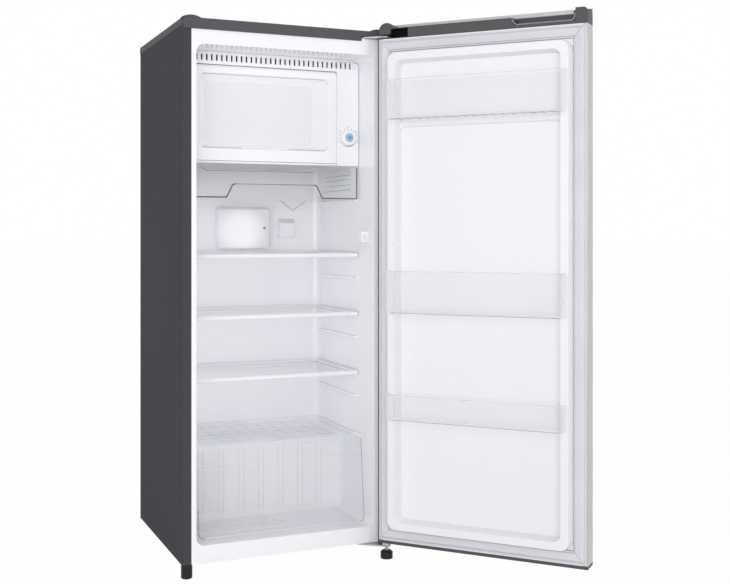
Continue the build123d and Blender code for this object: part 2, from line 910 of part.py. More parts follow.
# Lamp on the back wall: holder, bulb and cover
lamp_middle = (lamp_bottom + lamp_top) / 2
cover_face = room_back - lamp_cover_depth


def lamp_cover_plan(inset):
    """Outline of the lamp cover on the back wall, drawn in by a wall."""
    with BuildSketch(upright(room_back)) as plan:
        with Locations((x_mid, lamp_middle)):
            Rectangle(lamp_cover_width - 2 * inset, lamp_cover_height - 2 * inset)
        chamfer(plan.vertices(), lamp_cover_corner)
    return plan.sketch


with BuildPart() as lamp_cover:
    extrude(lamp_cover_plan(0), amount=lamp_cover_depth - lamp_cover_edge, taper=lamp_cover_taper)
    extrude(lamp_cover.faces().sort_by(Axis.Y)[0], amount=lamp_cover_edge, taper=edge_taper)
    extrude(
        lamp_cover_plan(lamp_cover_wall),
        amount=lamp_cover_depth - lamp_cover_edge,
        taper=lamp_cover_taper,
        mode=Mode.SUBTRACT,
    )
save(lamp_cover, "lamp_cover")

bulb_y = room_back - (lamp_cover_depth - lamp_cover_edge) / 2
bulb_start = x_mid - bulb_neck_length - bulb_body / 2
holder_face = cover_face + lamp_cover_edge + lamp_cover_wall
with BuildPart() as lamp_holder:
    slab(
        (bulb_start - holder_side, holder_face, lamp_middle - holder_side / 2),
        (bulb_start, room_back, lamp_middle + holder_side / 2),
    )
save(lamp_holder, "lamp_holder")

with BuildPart() as lamp_bulb:
    with BuildSketch(sideways(bulb_start)):
        with Locations((bulb_y, lamp_middle)):
            RegularPolygon(bulb_neck, bulb_sides)
    extrude(amount=bulb_neck_length)
    extrude(lamp_bulb.faces().sort_by(Axis.X)[-1], amount=bulb_shoulder, taper=-edge_taper)
    extrude(lamp_bulb.faces().sort_by(Axis.X)[-1], amount=bulb_body)
    extrude(lamp_bulb.faces().sort_by(Axis.X)[-1], amount=bulb_shoulder, taper=edge_taper)
save(lamp_bulb, "lamp_bulb")

with BuildPart() as wedge_cover:
    with BuildSketch(sideways(x_mid + wedge_offset - wedge_width / 2)):
        with BuildLine():
            Polyline(
                (room_back, lamp_middle - wedge_height / 2),
                (room_back, lamp_middle + wedge_height / 2),
                (room_back - wedge_depth, lamp_middle + wedge_height / 4),
                (room_back - wedge_depth / 2, lamp_middle - wedge_height / 2),
                close=True,
            )
        make_face()
    extrude(amount=wedge_width)
    fillet(wedge_cover.edges().filter_by(Axis.X).sort_by(Axis.Y)[0], wedge_edge)
save(wedge_cover, "wedge_cover")

# Door switch on the right wall: housing and the plunger that the door pushes
plunger_x = room_right - switch_width / 2 - ledge_width / 2
plunger_z = z_base + switch_height
plunger_tip = dyke_top + slide_clearance - plunger_stroke
switch_front = plunger_tip + plunger_stroke + plunger_guide
with BuildPart() as lamp_switch_body:
    slab(
        (plunger_x - switch_width / 2, switch_front, plunger_z - switch_width),
        (room_right, switch_front + switch_length, plunger_z + switch_width),
    )
    chamfer(lamp_switch_body.edges().filter_by(Axis.Z).group_by(Axis.X)[0], switch_edge)
    with BuildSketch(upright(switch_front)):
        with Locations((plunger_x, plunger_z)):
            Circle(plunger_radius + fit_clearance)
    extrude(amount=-(switch_length - plunger_guide), mode=Mode.SUBTRACT)
save(lamp_switch_body, "lamp_switch_body")

with BuildPart() as lamp_switch_plunger:
    with BuildSketch(upright(plunger_tip + plunger_edge)):
        with Locations((plunger_x, plunger_z)):
            RegularPolygon(plunger_radius, plunger_sides)
    extrude(amount=-(plunger_stroke + 2 * plunger_guide - plunger_edge))
    extrude(lamp_switch_plunger.faces().sort_by(Axis.Y)[0], amount=plunger_edge, taper=edge_taper)
save(lamp_switch_plunger, "lamp_switch_plunger")

# Shelves: moulded frame with an inner ledge, and the pane that lies on it
shelf_left = room_left + shelf_side_gap
shelf_right = room_right - shelf_side_gap
shelf_back = room_back - shelf_back_gap
shelf_width = shelf_right - shelf_left
shelf_depth = shelf_back - freezer_front


def shelf_plan(z, inset):
    """Shelf outline at height z, drawn in from its edge, with its rear corners cut off."""
    with BuildSketch(level(z)) as plan:
        with Locations((x_mid, (freezer_front + shelf_back) / 2)):
            Rectangle(shelf_width - 2 * inset, shelf_depth - 2 * inset)
        chamfer(plan.vertices().group_by(Axis.Y)[-1], shelf_corner - inset / 2)
    return plan.sketch


def shelf_frame(z):
    """White moulded frame of the shelf whose middle is at height z."""
    bottom = z - shelf_height / 2
    seat = z - pane_thickness / 4
    with BuildPart() as frame:
        extrude(shelf_plan(bottom, 0), amount=shelf_height)
        chamfer(frame.faces().sort_by(Axis.Y)[0].edges().filter_by(Axis.X), shelf_height / 4)
        extrude(shelf_plan(seat, shelf_rail), amount=shelf_height, mode=Mode.SUBTRACT)
        extrude(shelf_plan(bottom, shelf_rail + shelf_ledge), amount=shelf_height, mode=Mode.SUBTRACT)
    return frame


def shelf_pane(z):
    """Clear pane of the shelf whose middle is at height z."""
    with BuildPart() as pane:
        extrude(shelf_plan(z - pane_thickness / 4, shelf_rail), amount=pane_thickness)
    return pane


for number, shelf_z in enumerate(shelf_levels, 1):
    save(shelf_frame(shelf_z), "shelf_frame_" + str(number))
    save(shelf_pane(shelf_z), "shelf_pane_" + str(number))

# Crisper cover: clear shelf with a turned-down front edge
with BuildPart() as crisper_cover:
    with BuildSketch(level(cover_level - cover_thickness)) as cover_plan:
        with Locations((x_mid, (y_front + cover_front + shelf_back) / 2)):
            Rectangle(shelf_width, shelf_back - y_front - cover_front)
        chamfer(cover_plan.vertices().group_by(Axis.Y)[-1], shelf_corner)
    extrude(amount=cover_thickness)
    slab(
        (shelf_left, y_front + cover_front, cover_level - cover_lip),
        (shelf_right, y_front + cover_front + cover_thickness, cover_level),
    )
    fillet(crisper_cover.faces().sort_by(Axis.Y)[0].edges().filter_by(Axis.X), cover_thickness / 3)
save(crisper_cover, "crisper_cover")

# Crisper drawer: clear bin with a leaning front, a front band and a fluted back
crisper_left = room_left + crisper_side_gap
crisper_right = room_right - crisper_side_gap
crisper_bottom = room_floor + crisper_lift
crisper_top = cover_level - cover_lip - slide_clearance
crisper_back = step_front - crisper_back_gap
crisper_face = y_front + crisper_front_top
crisper_rib_pitch = (crisper_right - crisper_left) / (crisper_rib_count + 1)
with BuildPart() as crisper_drawer:
    with BuildSketch(sideways(crisper_left)):
        with BuildLine():
            Polyline(
                (crisper_face - crisper_front_lean, crisper_bottom),
                (crisper_back, crisper_bottom),
                (crisper_back, crisper_top),
                (crisper_face, crisper_top),
                close=True,
            )
        make_face()
    extrude(amount=crisper_right - crisper_left)
    fillet(crisper_drawer.faces().sort_by(Axis.Z)[0].edges(), crisper_edge)
    offset(amount=-crisper_wall, openings=crisper_drawer.faces().sort_by(Axis.Z)[-1])
    with BuildSketch(level(crisper_bottom + crisper_edge)):
        with Locations((x_mid, crisper_back - crisper_wall - crisper_rib_depth / 2)):
            with GridLocations(crisper_rib_pitch, 0, crisper_rib_count, 1):
                Rectangle(crisper_rib_width, crisper_rib_depth)
    extrude(amount=crisper_top - crisper_bottom - crisper_edge - crisper_band)
    slab(
        (crisper_left, crisper_face - crisper_wall, crisper_top - crisper_band),
        (crisper_right, crisper_face + crisper_wall, crisper_top),
    )
    for runner_x in (crisper_left + runner_inset, crisper_right - runner_inset):
        slab(
            (runner_x - crisper_wall, crisper_face, room_floor + slide_clearance),
            (runner_x + crisper_wall, crisper_back - runner_setback, crisper_bottom + crisper_wall),
        )
save(crisper_drawer, "crisper_drawer")

# Door skin: folded sheet, with its front carried up past the top cap
with BuildPart() as door_skin:
    with BuildSketch(level(skin_bottom)) as fold:
        with Locations((x_mid, door_middle)):
            Rectangle(cabinet_width, door_thickness)
        fillet(fold.vertices().group_by(Axis.Y)[0], door_bend)
        offset(amount=-door_sheet, mode=Mode.SUBTRACT)
        with Locations((x_mid, door_inner)):
            Rectangle(cabinet_width - 2 * door_fold, 2 * door_sheet, mode=Mode.SUBTRACT)
    extrude(amount=skin_top - skin_bottom)
    slab(
        (x_left - door_sheet, door_outer + cap_front_depth, skin_side_top),
        (x_right + door_sheet, door_inner + door_sheet, skin_top),
        mode=Mode.SUBTRACT,
    )
save_door(door_skin, "door_skin")

# Door liner: flange, raised dyke round the storage well, and pegs for the bins
dyke_back = door_inner - liner_wall
door_u = dyke_right - dyke_left
bin_levels = [
    skin_bottom + upper_bin_lift,
    skin_bottom + middle_bin_lift,
    skin_bottom + lower_bin_lift,
]
peg_levels = bin_levels + [skin_bottom + spare_peg_lift]


def dyke_ring(y, inset):
    """Ring of the dyke on the plane at depth y, drawn in on both sides by a wall."""
    height = dyke_high - dyke_low
    with BuildSketch(Plane.XZ.offset(-y)) as ring:
        with Locations((x_mid, (dyke_low + dyke_high) / 2)):
            RectangleRounded(door_u - 2 * inset, height - 2 * inset, dyke_corner - inset)
            RectangleRounded(
                door_u - 2 * dyke_width + 2 * inset,
                height - 2 * dyke_width + 2 * inset,
                dyke_corner / 2 + inset,
                mode=Mode.SUBTRACT,
            )
    return ring.sketch


with BuildPart() as dyke_filling:
    extrude(dyke_ring(dyke_back, liner_wall), amount=-dyke_height, taper=dyke_draft)

with BuildPart() as door_liner:
    with BuildSketch(upright(door_inner)):
        with Locations((x_mid, (skin_bottom + skin_side_top) / 2)):
            Rectangle(cabinet_width - 2 * door_fold, skin_side_top - skin_bottom)
    extrude(amount=liner_wall)
    extrude(dyke_ring(door_inner, 0), amount=-dyke_height, taper=dyke_draft)
    add(dyke_filling.part, mode=Mode.SUBTRACT)
    with BuildSketch(upright(dyke_top)) as pegs:
        for peg in peg_levels:
            with Locations((x_mid, peg - slide_clearance - peg_height / 2)):
                with GridLocations(door_u - dyke_width, 0, 2, 1):
                    Rectangle(peg_width, peg_height)
        chamfer(pegs.vertices(), peg_chamfer)
    extrude(amount=-peg_depth)
save_door(door_liner, "door_liner")

# Door insulation, with pockets for the hinge bosses of both caps
boss_half = bush_boss / 2
top_boss_low = z_top - pin_length - swing_clearance
bottom_boss_high = z_base + door_bottom_gap + pin_length + swing_clearance
with BuildPart() as door_insulation:
    with BuildSketch(level(skin_bottom)) as filling:
        with Locations((x_mid, (door_outer + dyke_back) / 2)):
            Rectangle(cabinet_width, dyke_back - door_outer)
        fillet(filling.vertices().group_by(Axis.Y)[0], door_bend)
        offset(amount=-door_sheet, mode=Mode.REPLACE)
        with Locations((x_mid, dyke_back - door_sheet)):
            Rectangle(cabinet_width - 2 * door_sheet, 2 * door_sheet)
    extrude(amount=skin_side_top - skin_bottom)
    add(dyke_filling.part)
    for low, high in ((top_boss_low, skin_side_top), (skin_bottom, bottom_boss_high)):
        slab((-boss_half, -boss_half, low), (boss_half, boss_half, high), mode=Mode.SUBTRACT)
save_door(door_insulation, "door_insulation")

# Door gasket: flat base and a raised magnetic bulb, all round the dyke
gasket_outer = cabinet_width - 2 * (dyke_inset - gasket_width)
gasket_tall = skin_side_top - skin_bottom - 2 * (dyke_bottom_inset - gasket_width)


def gasket_ring(y, inset, width):
    """Ring of the seal on the plane at depth y."""
    with BuildSketch(Plane.XZ.offset(-y)) as ring:
        with Locations((x_mid, (skin_bottom + skin_side_top) / 2)):
            Rectangle(gasket_outer - 2 * inset, gasket_tall - 2 * inset)
            Rectangle(
                gasket_outer - 2 * inset - 2 * width,
                gasket_tall - 2 * inset - 2 * width,
                mode=Mode.SUBTRACT,
            )
    return ring.sketch


gasket_rest = door_gap - gasket_base - slide_clearance
with BuildPart() as door_gasket:
    extrude(gasket_ring(door_inner, 0, gasket_width), amount=-gasket_base)
    extrude(
        gasket_ring(door_inner + gasket_base, (gasket_width - gasket_bulb) / 2, gasket_bulb),
        amount=-gasket_rest,
        taper=gasket_taper,
    )
save_door(door_gasket, "door_gasket")

# Door top cap: end bumps, grip pocket near the free end, hinge pocket and insert recess
cap_front = door_outer + door_sheet
grip_right = x_left + free_bump_width + grip_width
grip_left = x_left + free_bump_width
pocket_low = z_top - swing_clearance
pocket_high = z_top + bracket_plate + swing_clearance
pocket_left = x_right - hinge_pocket_width
insert_right = -boss_half - insert_setback
insert_left = insert_right - insert_width
insert_low = skin_side_top + insert_wall
insert_high = cap_top - insert_wall


def hinge_slot():
    """Slot that the upper hinge plate swings through, for the piece being made."""
    slab(
        (pocket_left, cap_front + door_sheet, pocket_low),
        (x_right + door_sheet, door_inner + door_sheet, pocket_high),
        mode=Mode.SUBTRACT,
    )


with BuildPart() as door_top_cap:
    with BuildSketch(level(skin_side_top)) as cap_plan:
        with Locations((x_mid, (cap_front + door_inner) / 2)):
            Rectangle(cabinet_width - 2 * door_sheet, door_inner - cap_front)
        fillet(cap_plan.vertices().group_by(Axis.Y)[0], door_bend - door_sheet)
        with Locations((x_mid, (door_outer + cap_front_depth + door_inner) / 2)):
            Rectangle(cabinet_width, door_thickness - cap_front_depth)
    extrude(amount=cap_height)
    with BuildSketch(upright(door_outer + cap_front_depth)):
        with BuildLine():
            Polyline(
                (x_left, cap_top),
                (x_left, cap_top + bump_rise / 3),
                (x_left + free_bump_width / 4, cap_top + bump_rise),
                (x_left + free_bump_width, cap_top + bump_rise),
                (x_left + free_bump_width, cap_top),
                close=True,
            )
        make_face()
        with BuildLine():
            Line((x_right, cap_top), (x_right - hinge_bump_width, cap_top))
            ThreePointArc(
                (x_right - hinge_bump_width, cap_top),
                (x_right - bump_peak, cap_top + bump_rise),
                (x_right, cap_top),
            )
        make_face()
    extrude(amount=cap_front_depth - door_thickness)
    slab(
        (x_left + door_bend, cap_front, cap_top),
        (x_right - door_bend, cap_front + grip_wall, skin_top - door_sheet),
    )
    slab(
        (grip_left, cap_front + grip_wall, skin_side_top + grip_floor),
        (grip_right, door_inner + door_sheet, skin_top),
        mode=Mode.SUBTRACT,
    )
    slab((-boss_half, -boss_half, top_boss_low), (boss_half, boss_half, skin_side_top))
    hinge_slot()
    slab(
        (insert_left, door_inner - insert_depth, insert_low),
        (insert_right, door_inner + door_sheet, insert_high),
        mode=Mode.SUBTRACT,
    )
    slab(
        (-bush_side / 2, -bush_side / 2, top_boss_low),
        (bush_side / 2, bush_side / 2, pocket_low),
        mode=Mode.SUBTRACT,
    )
save_door(door_top_cap, "door_top_cap")

with BuildPart() as hinge_pocket_insert:
    slab((insert_left, door_inner - insert_depth, insert_low), (insert_right, door_inner, insert_high))
    with BuildSketch(upright(door_inner)):
        with Locations(((insert_left + insert_right) / 2, (insert_low + insert_high) / 2)):
            Rectangle(insert_width - 2 * insert_wall, insert_high - insert_low - 2 * insert_wall)
    extrude(amount=insert_depth - insert_wall, taper=insert_taper, mode=Mode.SUBTRACT)
    hinge_slot()
save_door(hinge_pocket_insert, "hinge_pocket_insert")

# Door bottom cap and the bushes that turn on the hinge pins
with BuildPart() as door_bottom_cap:
    with BuildSketch(level(skin_bottom - bottom_cap_height)) as foot_plan:
        with Locations((x_mid, door_middle)):
            Rectangle(cabinet_width, door_thickness)
        fillet(foot_plan.vertices().group_by(Axis.Y)[0], door_bend)
    extrude(amount=bottom_cap_height)
    slab((-boss_half, -boss_half, skin_bottom), (boss_half, boss_half, bottom_boss_high))
    slab(
        (-bush_side / 2, -bush_side / 2, skin_bottom - bottom_cap_height),
        (bush_side / 2, bush_side / 2, bottom_boss_high),
        mode=Mode.SUBTRACT,
    )
save_door(door_bottom_cap, "door_bottom_cap")

with BuildPart() as door_hinge_bushes:
    slab((-bush_side / 2, -bush_side / 2, top_boss_low), (bush_side / 2, bush_side / 2, pocket_low))
    slab(
        (-bush_side / 2, -bush_side / 2, z_base + slide_clearance),
        (bush_side / 2, bush_side / 2, bottom_boss_high),
    )
    with BuildSketch(level(z_base)):
        Circle(pin_radius + fit_clearance)
    extrude(amount=z_top - z_base, mode=Mode.SUBTRACT)
save_door(door_hinge_bushes, "door_hinge_bushes")

# Door bins: clear troughs between the dyke sides, with wings that rest on the pegs
bin_left = x_left + bin_end_inset
bin_right = x_right - bin_end_inset
well_left = dyke_left + dyke_width + swing_clearance
well_right = dyke_right - dyke_width - swing_clearance
bin_back = door_inner + swing_clearance
bin_step = dyke_top + slide_clearance
bin_front = bin_step + bin_reach


def bin_plan(z, inset):
    """Bin outline at height z, drawn in by a wall: a trough with a wider front."""
    with BuildSketch(level(z)) as plan:
        with Locations((x_mid, (bin_back + bin_front) / 2)):
            Rectangle(well_right - well_left - 2 * inset, bin_front - bin_back - 2 * inset)
        with Locations((x_mid, (bin_step + bin_front) / 2)):
            Rectangle(bin_right - bin_left - 2 * inset, bin_front - bin_step - 2 * inset)
        fillet(plan.vertices().group_by(Axis.Y)[-1], bin_corner - inset)
    return plan.sketch


def door_bin(z, height):
    """Clear bin whose floor is at height z."""
    with BuildPart() as bin_part:
        extrude(bin_plan(z, 0), amount=height)
        chamfer(bin_part.faces().sort_by(Axis.Y)[-1].edges().sort_by(Axis.Z)[0], bin_edge)
        extrude(bin_plan(z + bin_wall, bin_wall), amount=height, mode=Mode.SUBTRACT)
    return bin_part


bin_names = ("upper_door_bin", "middle_door_bin", "lower_door_bin")
bin_heights = (upper_bin_height, middle_bin_height, lower_bin_height)
for bin_name, bin_z, bin_tall in zip(bin_names, bin_levels, bin_heights):
    save_door(door_bin(bin_z, bin_tall), bin_name)

# Compressor bay: base plate, rubber grommets, compressor and relay cover
compressor_x = x_mid + compressor_offset
compressor_y = (bay_front + y_back) / 2
base_top = z_base + base_sheet
feet_level = base_top + grommet_height
mount_width = compressor_feet_width - 2 * grommet_inset
mount_depth = compressor_feet_depth - 2 * grommet_inset
with BuildPart() as compressor_base:
    slab(
        (x_left + shell_sheet, bay_front, z_base),
        (x_right - shell_sheet, y_back, base_top),
    )
    slab(
        (x_left + shell_sheet, y_back - base_sheet, base_top),
        (x_right - shell_sheet, y_back, base_top + base_lip),
    )
save(compressor_base, "compressor_base")

with BuildPart() as compressor_grommets:
    with BuildSketch(level(base_top)):
        with Locations((compressor_x, compressor_y)):
            with GridLocations(mount_width, mount_depth, 2, 2):
                RegularPolygon(grommet_radius, grommet_sides)
    extrude(amount=grommet_height, taper=grommet_taper)
save(compressor_grommets, "compressor_grommets")

compressor_top = feet_level + compressor_height
relay_low = feet_level + relay_rise
relay_right = compressor_x - compressor_radius - terminal_width
terminal_low = relay_low + (relay_height - terminal_height) / 2
bowl_angles = [radians(dome_angle * n / dome_steps) for n in range(dome_steps + 1)]
bowl_share = [sin(angle) / sin(radians(dome_angle)) for angle in bowl_angles]
bowl_radii = [compressor_radius * cos(angle) for angle in bowl_angles]


def compressor_ring(z, radius):
    """Cross-section of the compressor's housing at height z, with a flat to each side."""
    with BuildSketch(level(z)) as ring:
        with Locations((compressor_x, compressor_y)):
            RegularPolygon(radius, compressor_sides, rotation=180 / compressor_sides)
    return ring.sketch


bowl_rings = [
    compressor_ring(feet_level + compressor_bowl * (1 - share), radius)
    for share, radius in zip(reversed(bowl_share), reversed(bowl_radii))
]
crown_rings = [
    compressor_ring(compressor_top - compressor_bowl * (1 - share), radius)
    for share, radius in zip(bowl_share, bowl_radii)
]
seam_level = (feet_level + compressor_top) / 2 - compressor_seam
with BuildPart() as compressor:
    loft(bowl_rings + crown_rings, ruled=True)
    extrude(compressor_ring(seam_level, compressor_radius + compressor_seam), amount=2 * compressor_seam)
    with BuildSketch(level(feet_level)) as feet_plan:
        with Locations((compressor_x, compressor_y)):
            Rectangle(compressor_feet_width, compressor_feet_depth)
        chamfer(feet_plan.vertices(), grommet_radius)
    extrude(amount=compressor_feet_sheet)
    slab(
        (relay_right, compressor_y - terminal_depth / 2, terminal_low),
        (compressor_x, compressor_y + terminal_depth / 2, terminal_low + terminal_height),
    )
save(compressor, "compressor")

with BuildPart() as relay_cover:
    slab(
        (relay_right - relay_width, compressor_y - relay_depth / 2, relay_low),
        (relay_right, compressor_y + relay_depth / 2, relay_low + relay_height),
    )
    chamfer(relay_cover.edges().filter_by(Axis.Z).group_by(Axis.X)[0], relay_edge)
    chamfer(relay_cover.faces().sort_by(Axis.Z)[-1].edges(), relay_edge / 2)
save(relay_cover, "relay_cover")

# Drip tray on the compressor


def drip_tray_plan(z, inset):
    """Outline of the drip tray at height z, drawn in by a wall."""
    with BuildSketch(level(z)) as plan:
        with Locations((compressor_x, compressor_y)):
            Rectangle(drip_tray_width - 2 * inset, drip_tray_depth - 2 * inset)
        chamfer(plan.vertices(), drip_tray_corner)
    return plan.sketch


with BuildPart() as drip_tray:
    extrude(drip_tray_plan(compressor_top, 0), amount=drip_tray_height, taper=-drip_tray_taper)
    extrude(
        drip_tray_plan(compressor_top + drip_tray_wall, drip_tray_wall),
        amount=drip_tray_height,
        taper=-drip_tray_taper,
        mode=Mode.SUBTRACT,
    )
save(drip_tray, "drip_tray")

# Condenser on the back: one serpentine tube, wires on both sides, and its brackets
tube_y = y_back + condenser_standoff
tube_low = bay_top + condenser_rise
tube_high = tube_low + (condenser_runs - 1) * condenser_pitch
straight_half = condenser_width / 2 - condenser_pitch / 2
tail_radius = condenser_pitch / 2
tail_x = x_mid - straight_half - tail_radius
tail_z = tube_low - tail_radius


def tube_section(x, z, heading):
    """Cross-section of the condenser tube where it runs at an angle to the level."""
    along = (cos(radians(heading)), 0, sin(radians(heading)))
    with BuildSketch(Plane(origin=(x, tube_y, z), x_dir=(0, 1, 0), z_dir=along)) as section:
        RegularPolygon(condenser_tube_radius, tube_sides, rotation=180 / tube_sides)
    return section.sketch


def bend_sections(x, z, way, start, end):
    """Sections round a bend of the tube that begins at x and z, bulging left or right."""
    turns = [start + (end - start) * n / bend_steps for n in range(bend_steps + 1)]
    return [
        tube_section(
            x + way * tail_radius * (sin(radians(turn)) - sin(radians(start))),
            z + tail_radius * (cos(radians(start)) - cos(radians(turn))),
            90 - way * (90 - turn),
        )
        for turn in turns
    ]


tube_sections = bend_sections(tail_x, tail_z, -1, 90, 180)
for run in range(condenser_runs - 1):
    run_way = 1 - 2 * (run % 2)
    run_z = tube_low + run * condenser_pitch
    tube_sections += bend_sections(x_mid + run_way * straight_half, run_z, run_way, 0, 180)
last_way = 1 - 2 * ((condenser_runs - 1) % 2)
tube_sections.append(tube_section(x_mid + last_way * straight_half, tube_high, 90 - last_way * 90))
with BuildPart() as condenser_tube:
    loft(tube_sections, ruled=True)
save(condenser_tube, "condenser_tube")

tube_half = condenser_tube_radius * cos(radians(180 / tube_sides))
wire_half = condenser_wire_radius * cos(radians(180 / wire_sides))
wire_offset = tube_half + wire_half
wire_pitch = 2 * straight_half / condenser_wire_count
with BuildPart() as condenser_wires:
    with BuildSketch(level(tube_low - condenser_wire_end)):
        with Locations((x_mid, tube_y)):
            with GridLocations(wire_pitch, 2 * wire_offset, condenser_wire_count, 2):
                RegularPolygon(condenser_wire_radius, wire_sides, rotation=180 / wire_sides)
    extrude(amount=tube_high - tube_low + 2 * condenser_wire_end)
save(condenser_wires, "condenser_wires")

bracket_face = tube_y - wire_offset - wire_half
with BuildPart() as condenser_brackets:
    with BuildSketch(upright(y_back)):
        with Locations((x_mid, (tube_low + tube_high) / 2)):
            with GridLocations(2 * straight_half, tube_high - tube_low - condenser_pitch, 2, 2):
                Rectangle(bracket_tab, bracket_tab)
    extrude(amount=-(bracket_face - y_back))
save(condenser_brackets, "condenser_brackets")

# Filter drier below the condenser's tail, and the pipes of the compressor


def drier_ring(drop, radius):
    """Cross-section of the drier, some way below the condenser's tail."""
    with BuildSketch(level(tail_z - drop)) as ring:
        with Locations((tail_x, tube_y)):
            RegularPolygon(radius, pipe_sides)
    return ring.sketch


drier_rings = [
    drier_ring(drier_length, condenser_tube_radius),
    drier_ring(drier_length - drier_radius, drier_radius),
    drier_ring(drier_radius, drier_radius),
    drier_ring(0, condenser_tube_radius),
]
with BuildPart() as filter_drier:
    loft(drier_rings, ruled=True)
save(filter_drier, "filter_drier")


def bent_pipe(points):
    """Pipe along straight runs that are joined by bends."""
    with BuildPart() as pipe:
        with BuildLine() as route:
            FilletPolyline(*points, radius=pipe_bend)
        with BuildSketch(Plane(origin=route.line @ 0, z_dir=route.line % 0)):
            RegularPolygon(pipe_radius, pipe_sides)
        sweep()
    return pipe


pipe_start = compressor_radius * cos(radians(180 / compressor_sides))
discharge_level = feet_level + discharge_rise
riser_x = x_mid + condenser_width / 2 + pipe_bend
discharge_pipe = bent_pipe(
    [
        (compressor_x + pipe_start, compressor_y, discharge_level),
        (riser_x, compressor_y, discharge_level),
        (riser_x, tube_y, discharge_level),
        (riser_x, tube_y, tube_high),
        (x_mid + straight_half, tube_y, tube_high),
    ]
)
save(discharge_pipe, "discharge_pipe")

suction_level = feet_level + suction_rise
suction_y = y_back - shell_sheet - 2 * pipe_radius
suction_pipe = bent_pipe(
    [
        (compressor_x, compressor_y + pipe_start, suction_level),
        (compressor_x, suction_y, suction_level),
        (compressor_x, suction_y, bay_top),
    ]
)
save(suction_pipe, "suction_pipe")
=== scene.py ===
import json
import math

import bmesh
import bpy
from bpy.props import FloatProperty, FloatVectorProperty, IntProperty, PointerProperty
from mathutils import Euler, Matrix, Vector


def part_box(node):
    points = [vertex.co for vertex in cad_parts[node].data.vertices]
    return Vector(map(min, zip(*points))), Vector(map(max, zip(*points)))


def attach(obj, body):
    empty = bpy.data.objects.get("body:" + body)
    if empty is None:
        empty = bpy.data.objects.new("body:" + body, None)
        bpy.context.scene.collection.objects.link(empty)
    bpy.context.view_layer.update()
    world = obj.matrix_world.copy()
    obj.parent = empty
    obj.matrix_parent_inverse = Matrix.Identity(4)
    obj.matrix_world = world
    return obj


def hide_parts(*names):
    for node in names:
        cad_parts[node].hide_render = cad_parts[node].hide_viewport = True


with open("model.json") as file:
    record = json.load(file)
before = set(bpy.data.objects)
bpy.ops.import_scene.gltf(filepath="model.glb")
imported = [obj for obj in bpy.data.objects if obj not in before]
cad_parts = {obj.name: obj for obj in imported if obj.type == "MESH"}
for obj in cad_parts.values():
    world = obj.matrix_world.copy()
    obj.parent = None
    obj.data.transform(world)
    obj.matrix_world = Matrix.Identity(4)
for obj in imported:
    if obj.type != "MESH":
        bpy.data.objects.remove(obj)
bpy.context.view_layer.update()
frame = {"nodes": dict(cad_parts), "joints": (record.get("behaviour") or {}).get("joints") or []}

bl_info = {
    "name": "Refrigerator Finish",
    "version": (1, 0, 0),
    "blender": (4, 5, 0),
    "location": "3D View > Sidebar > Refrigerator",
    "description": "Finishes, seal, markings and moulded details of a single-door refrigerator",
    "category": "Object",
}

MM = 0.001
DOOR_JOINT = next(joint for joint in frame["joints"] if joint["name"] == "door_swing")
DOOR_ANGLE = -math.radians(DOOR_JOINT["range_deg"][0])
DOOR_OPEN = Matrix.Rotation(DOOR_ANGLE, 4, "Z")
FACING_FRONT = Euler((math.pi / 2, 0, 0))
FACING_DOWN = Euler((math.pi, 0, 0))

WELD_DISTANCE = 0.01 * MM
EDGE_ANGLE = math.radians(35)
PATTERN_LOW, PATTERN_HIGH = 0.3, 0.7
MIX_SHARE, MIX_FIRST, MIX_SECOND, MIX_RESULT = 0, 6, 7, 2
CLEAR_IOR = 1.57
MOULDING_ROUGHNESS = 0.31
FLOOR_REACH = 60
FLOOR_GLOW = 0.985

# Name, place, aim and side of each studio light
STUDIO_LIGHTS = (
    ("key", (-1.6, -4.0, 1.25), (-0.2, 0.2, 0.7), 2.6),
    ("fill", (1.9, -2.4, 1.5), (-0.1, 0.1, 0.6), 2.0),
    ("top", (-0.3, 0.1, 3.4), (-0.2, 0.2, 0.7), 2.2),
    ("left", (-3.2, -2.6, 1.3), (-0.1, 0.2, 0.7), 2.2),
)


# ---------------------------------------------------------------- settings

def tone(red, green, blue):
    """Scene colour of a display colour given in eight bits."""
    parts = [part / 255 for part in (red, green, blue)]
    return tuple(part / 12.92 if part < 0.04 else ((part + 0.055) / 1.055) ** 2.4 for part in parts)


def colour(name, description, *display):
    """Colour setting."""
    return FloatVectorProperty(name=name, description=description, default=tone(*display),
                               subtype="COLOR", size=3, min=0, max=1)


def length(name, description, millimetres):
    """Length setting, given in millimetres."""
    return FloatProperty(name=name, description=description, default=millimetres * MM, min=0,
                         subtype="DISTANCE", unit="LENGTH")


def number(name, description, value):
    """Count setting."""
    return IntProperty(name=name, description=description, default=value, min=1)


def power(name, description, watts):
    """Light setting, in watts."""
    return FloatProperty(name=name, description=description, default=watts, min=0, unit="POWER")


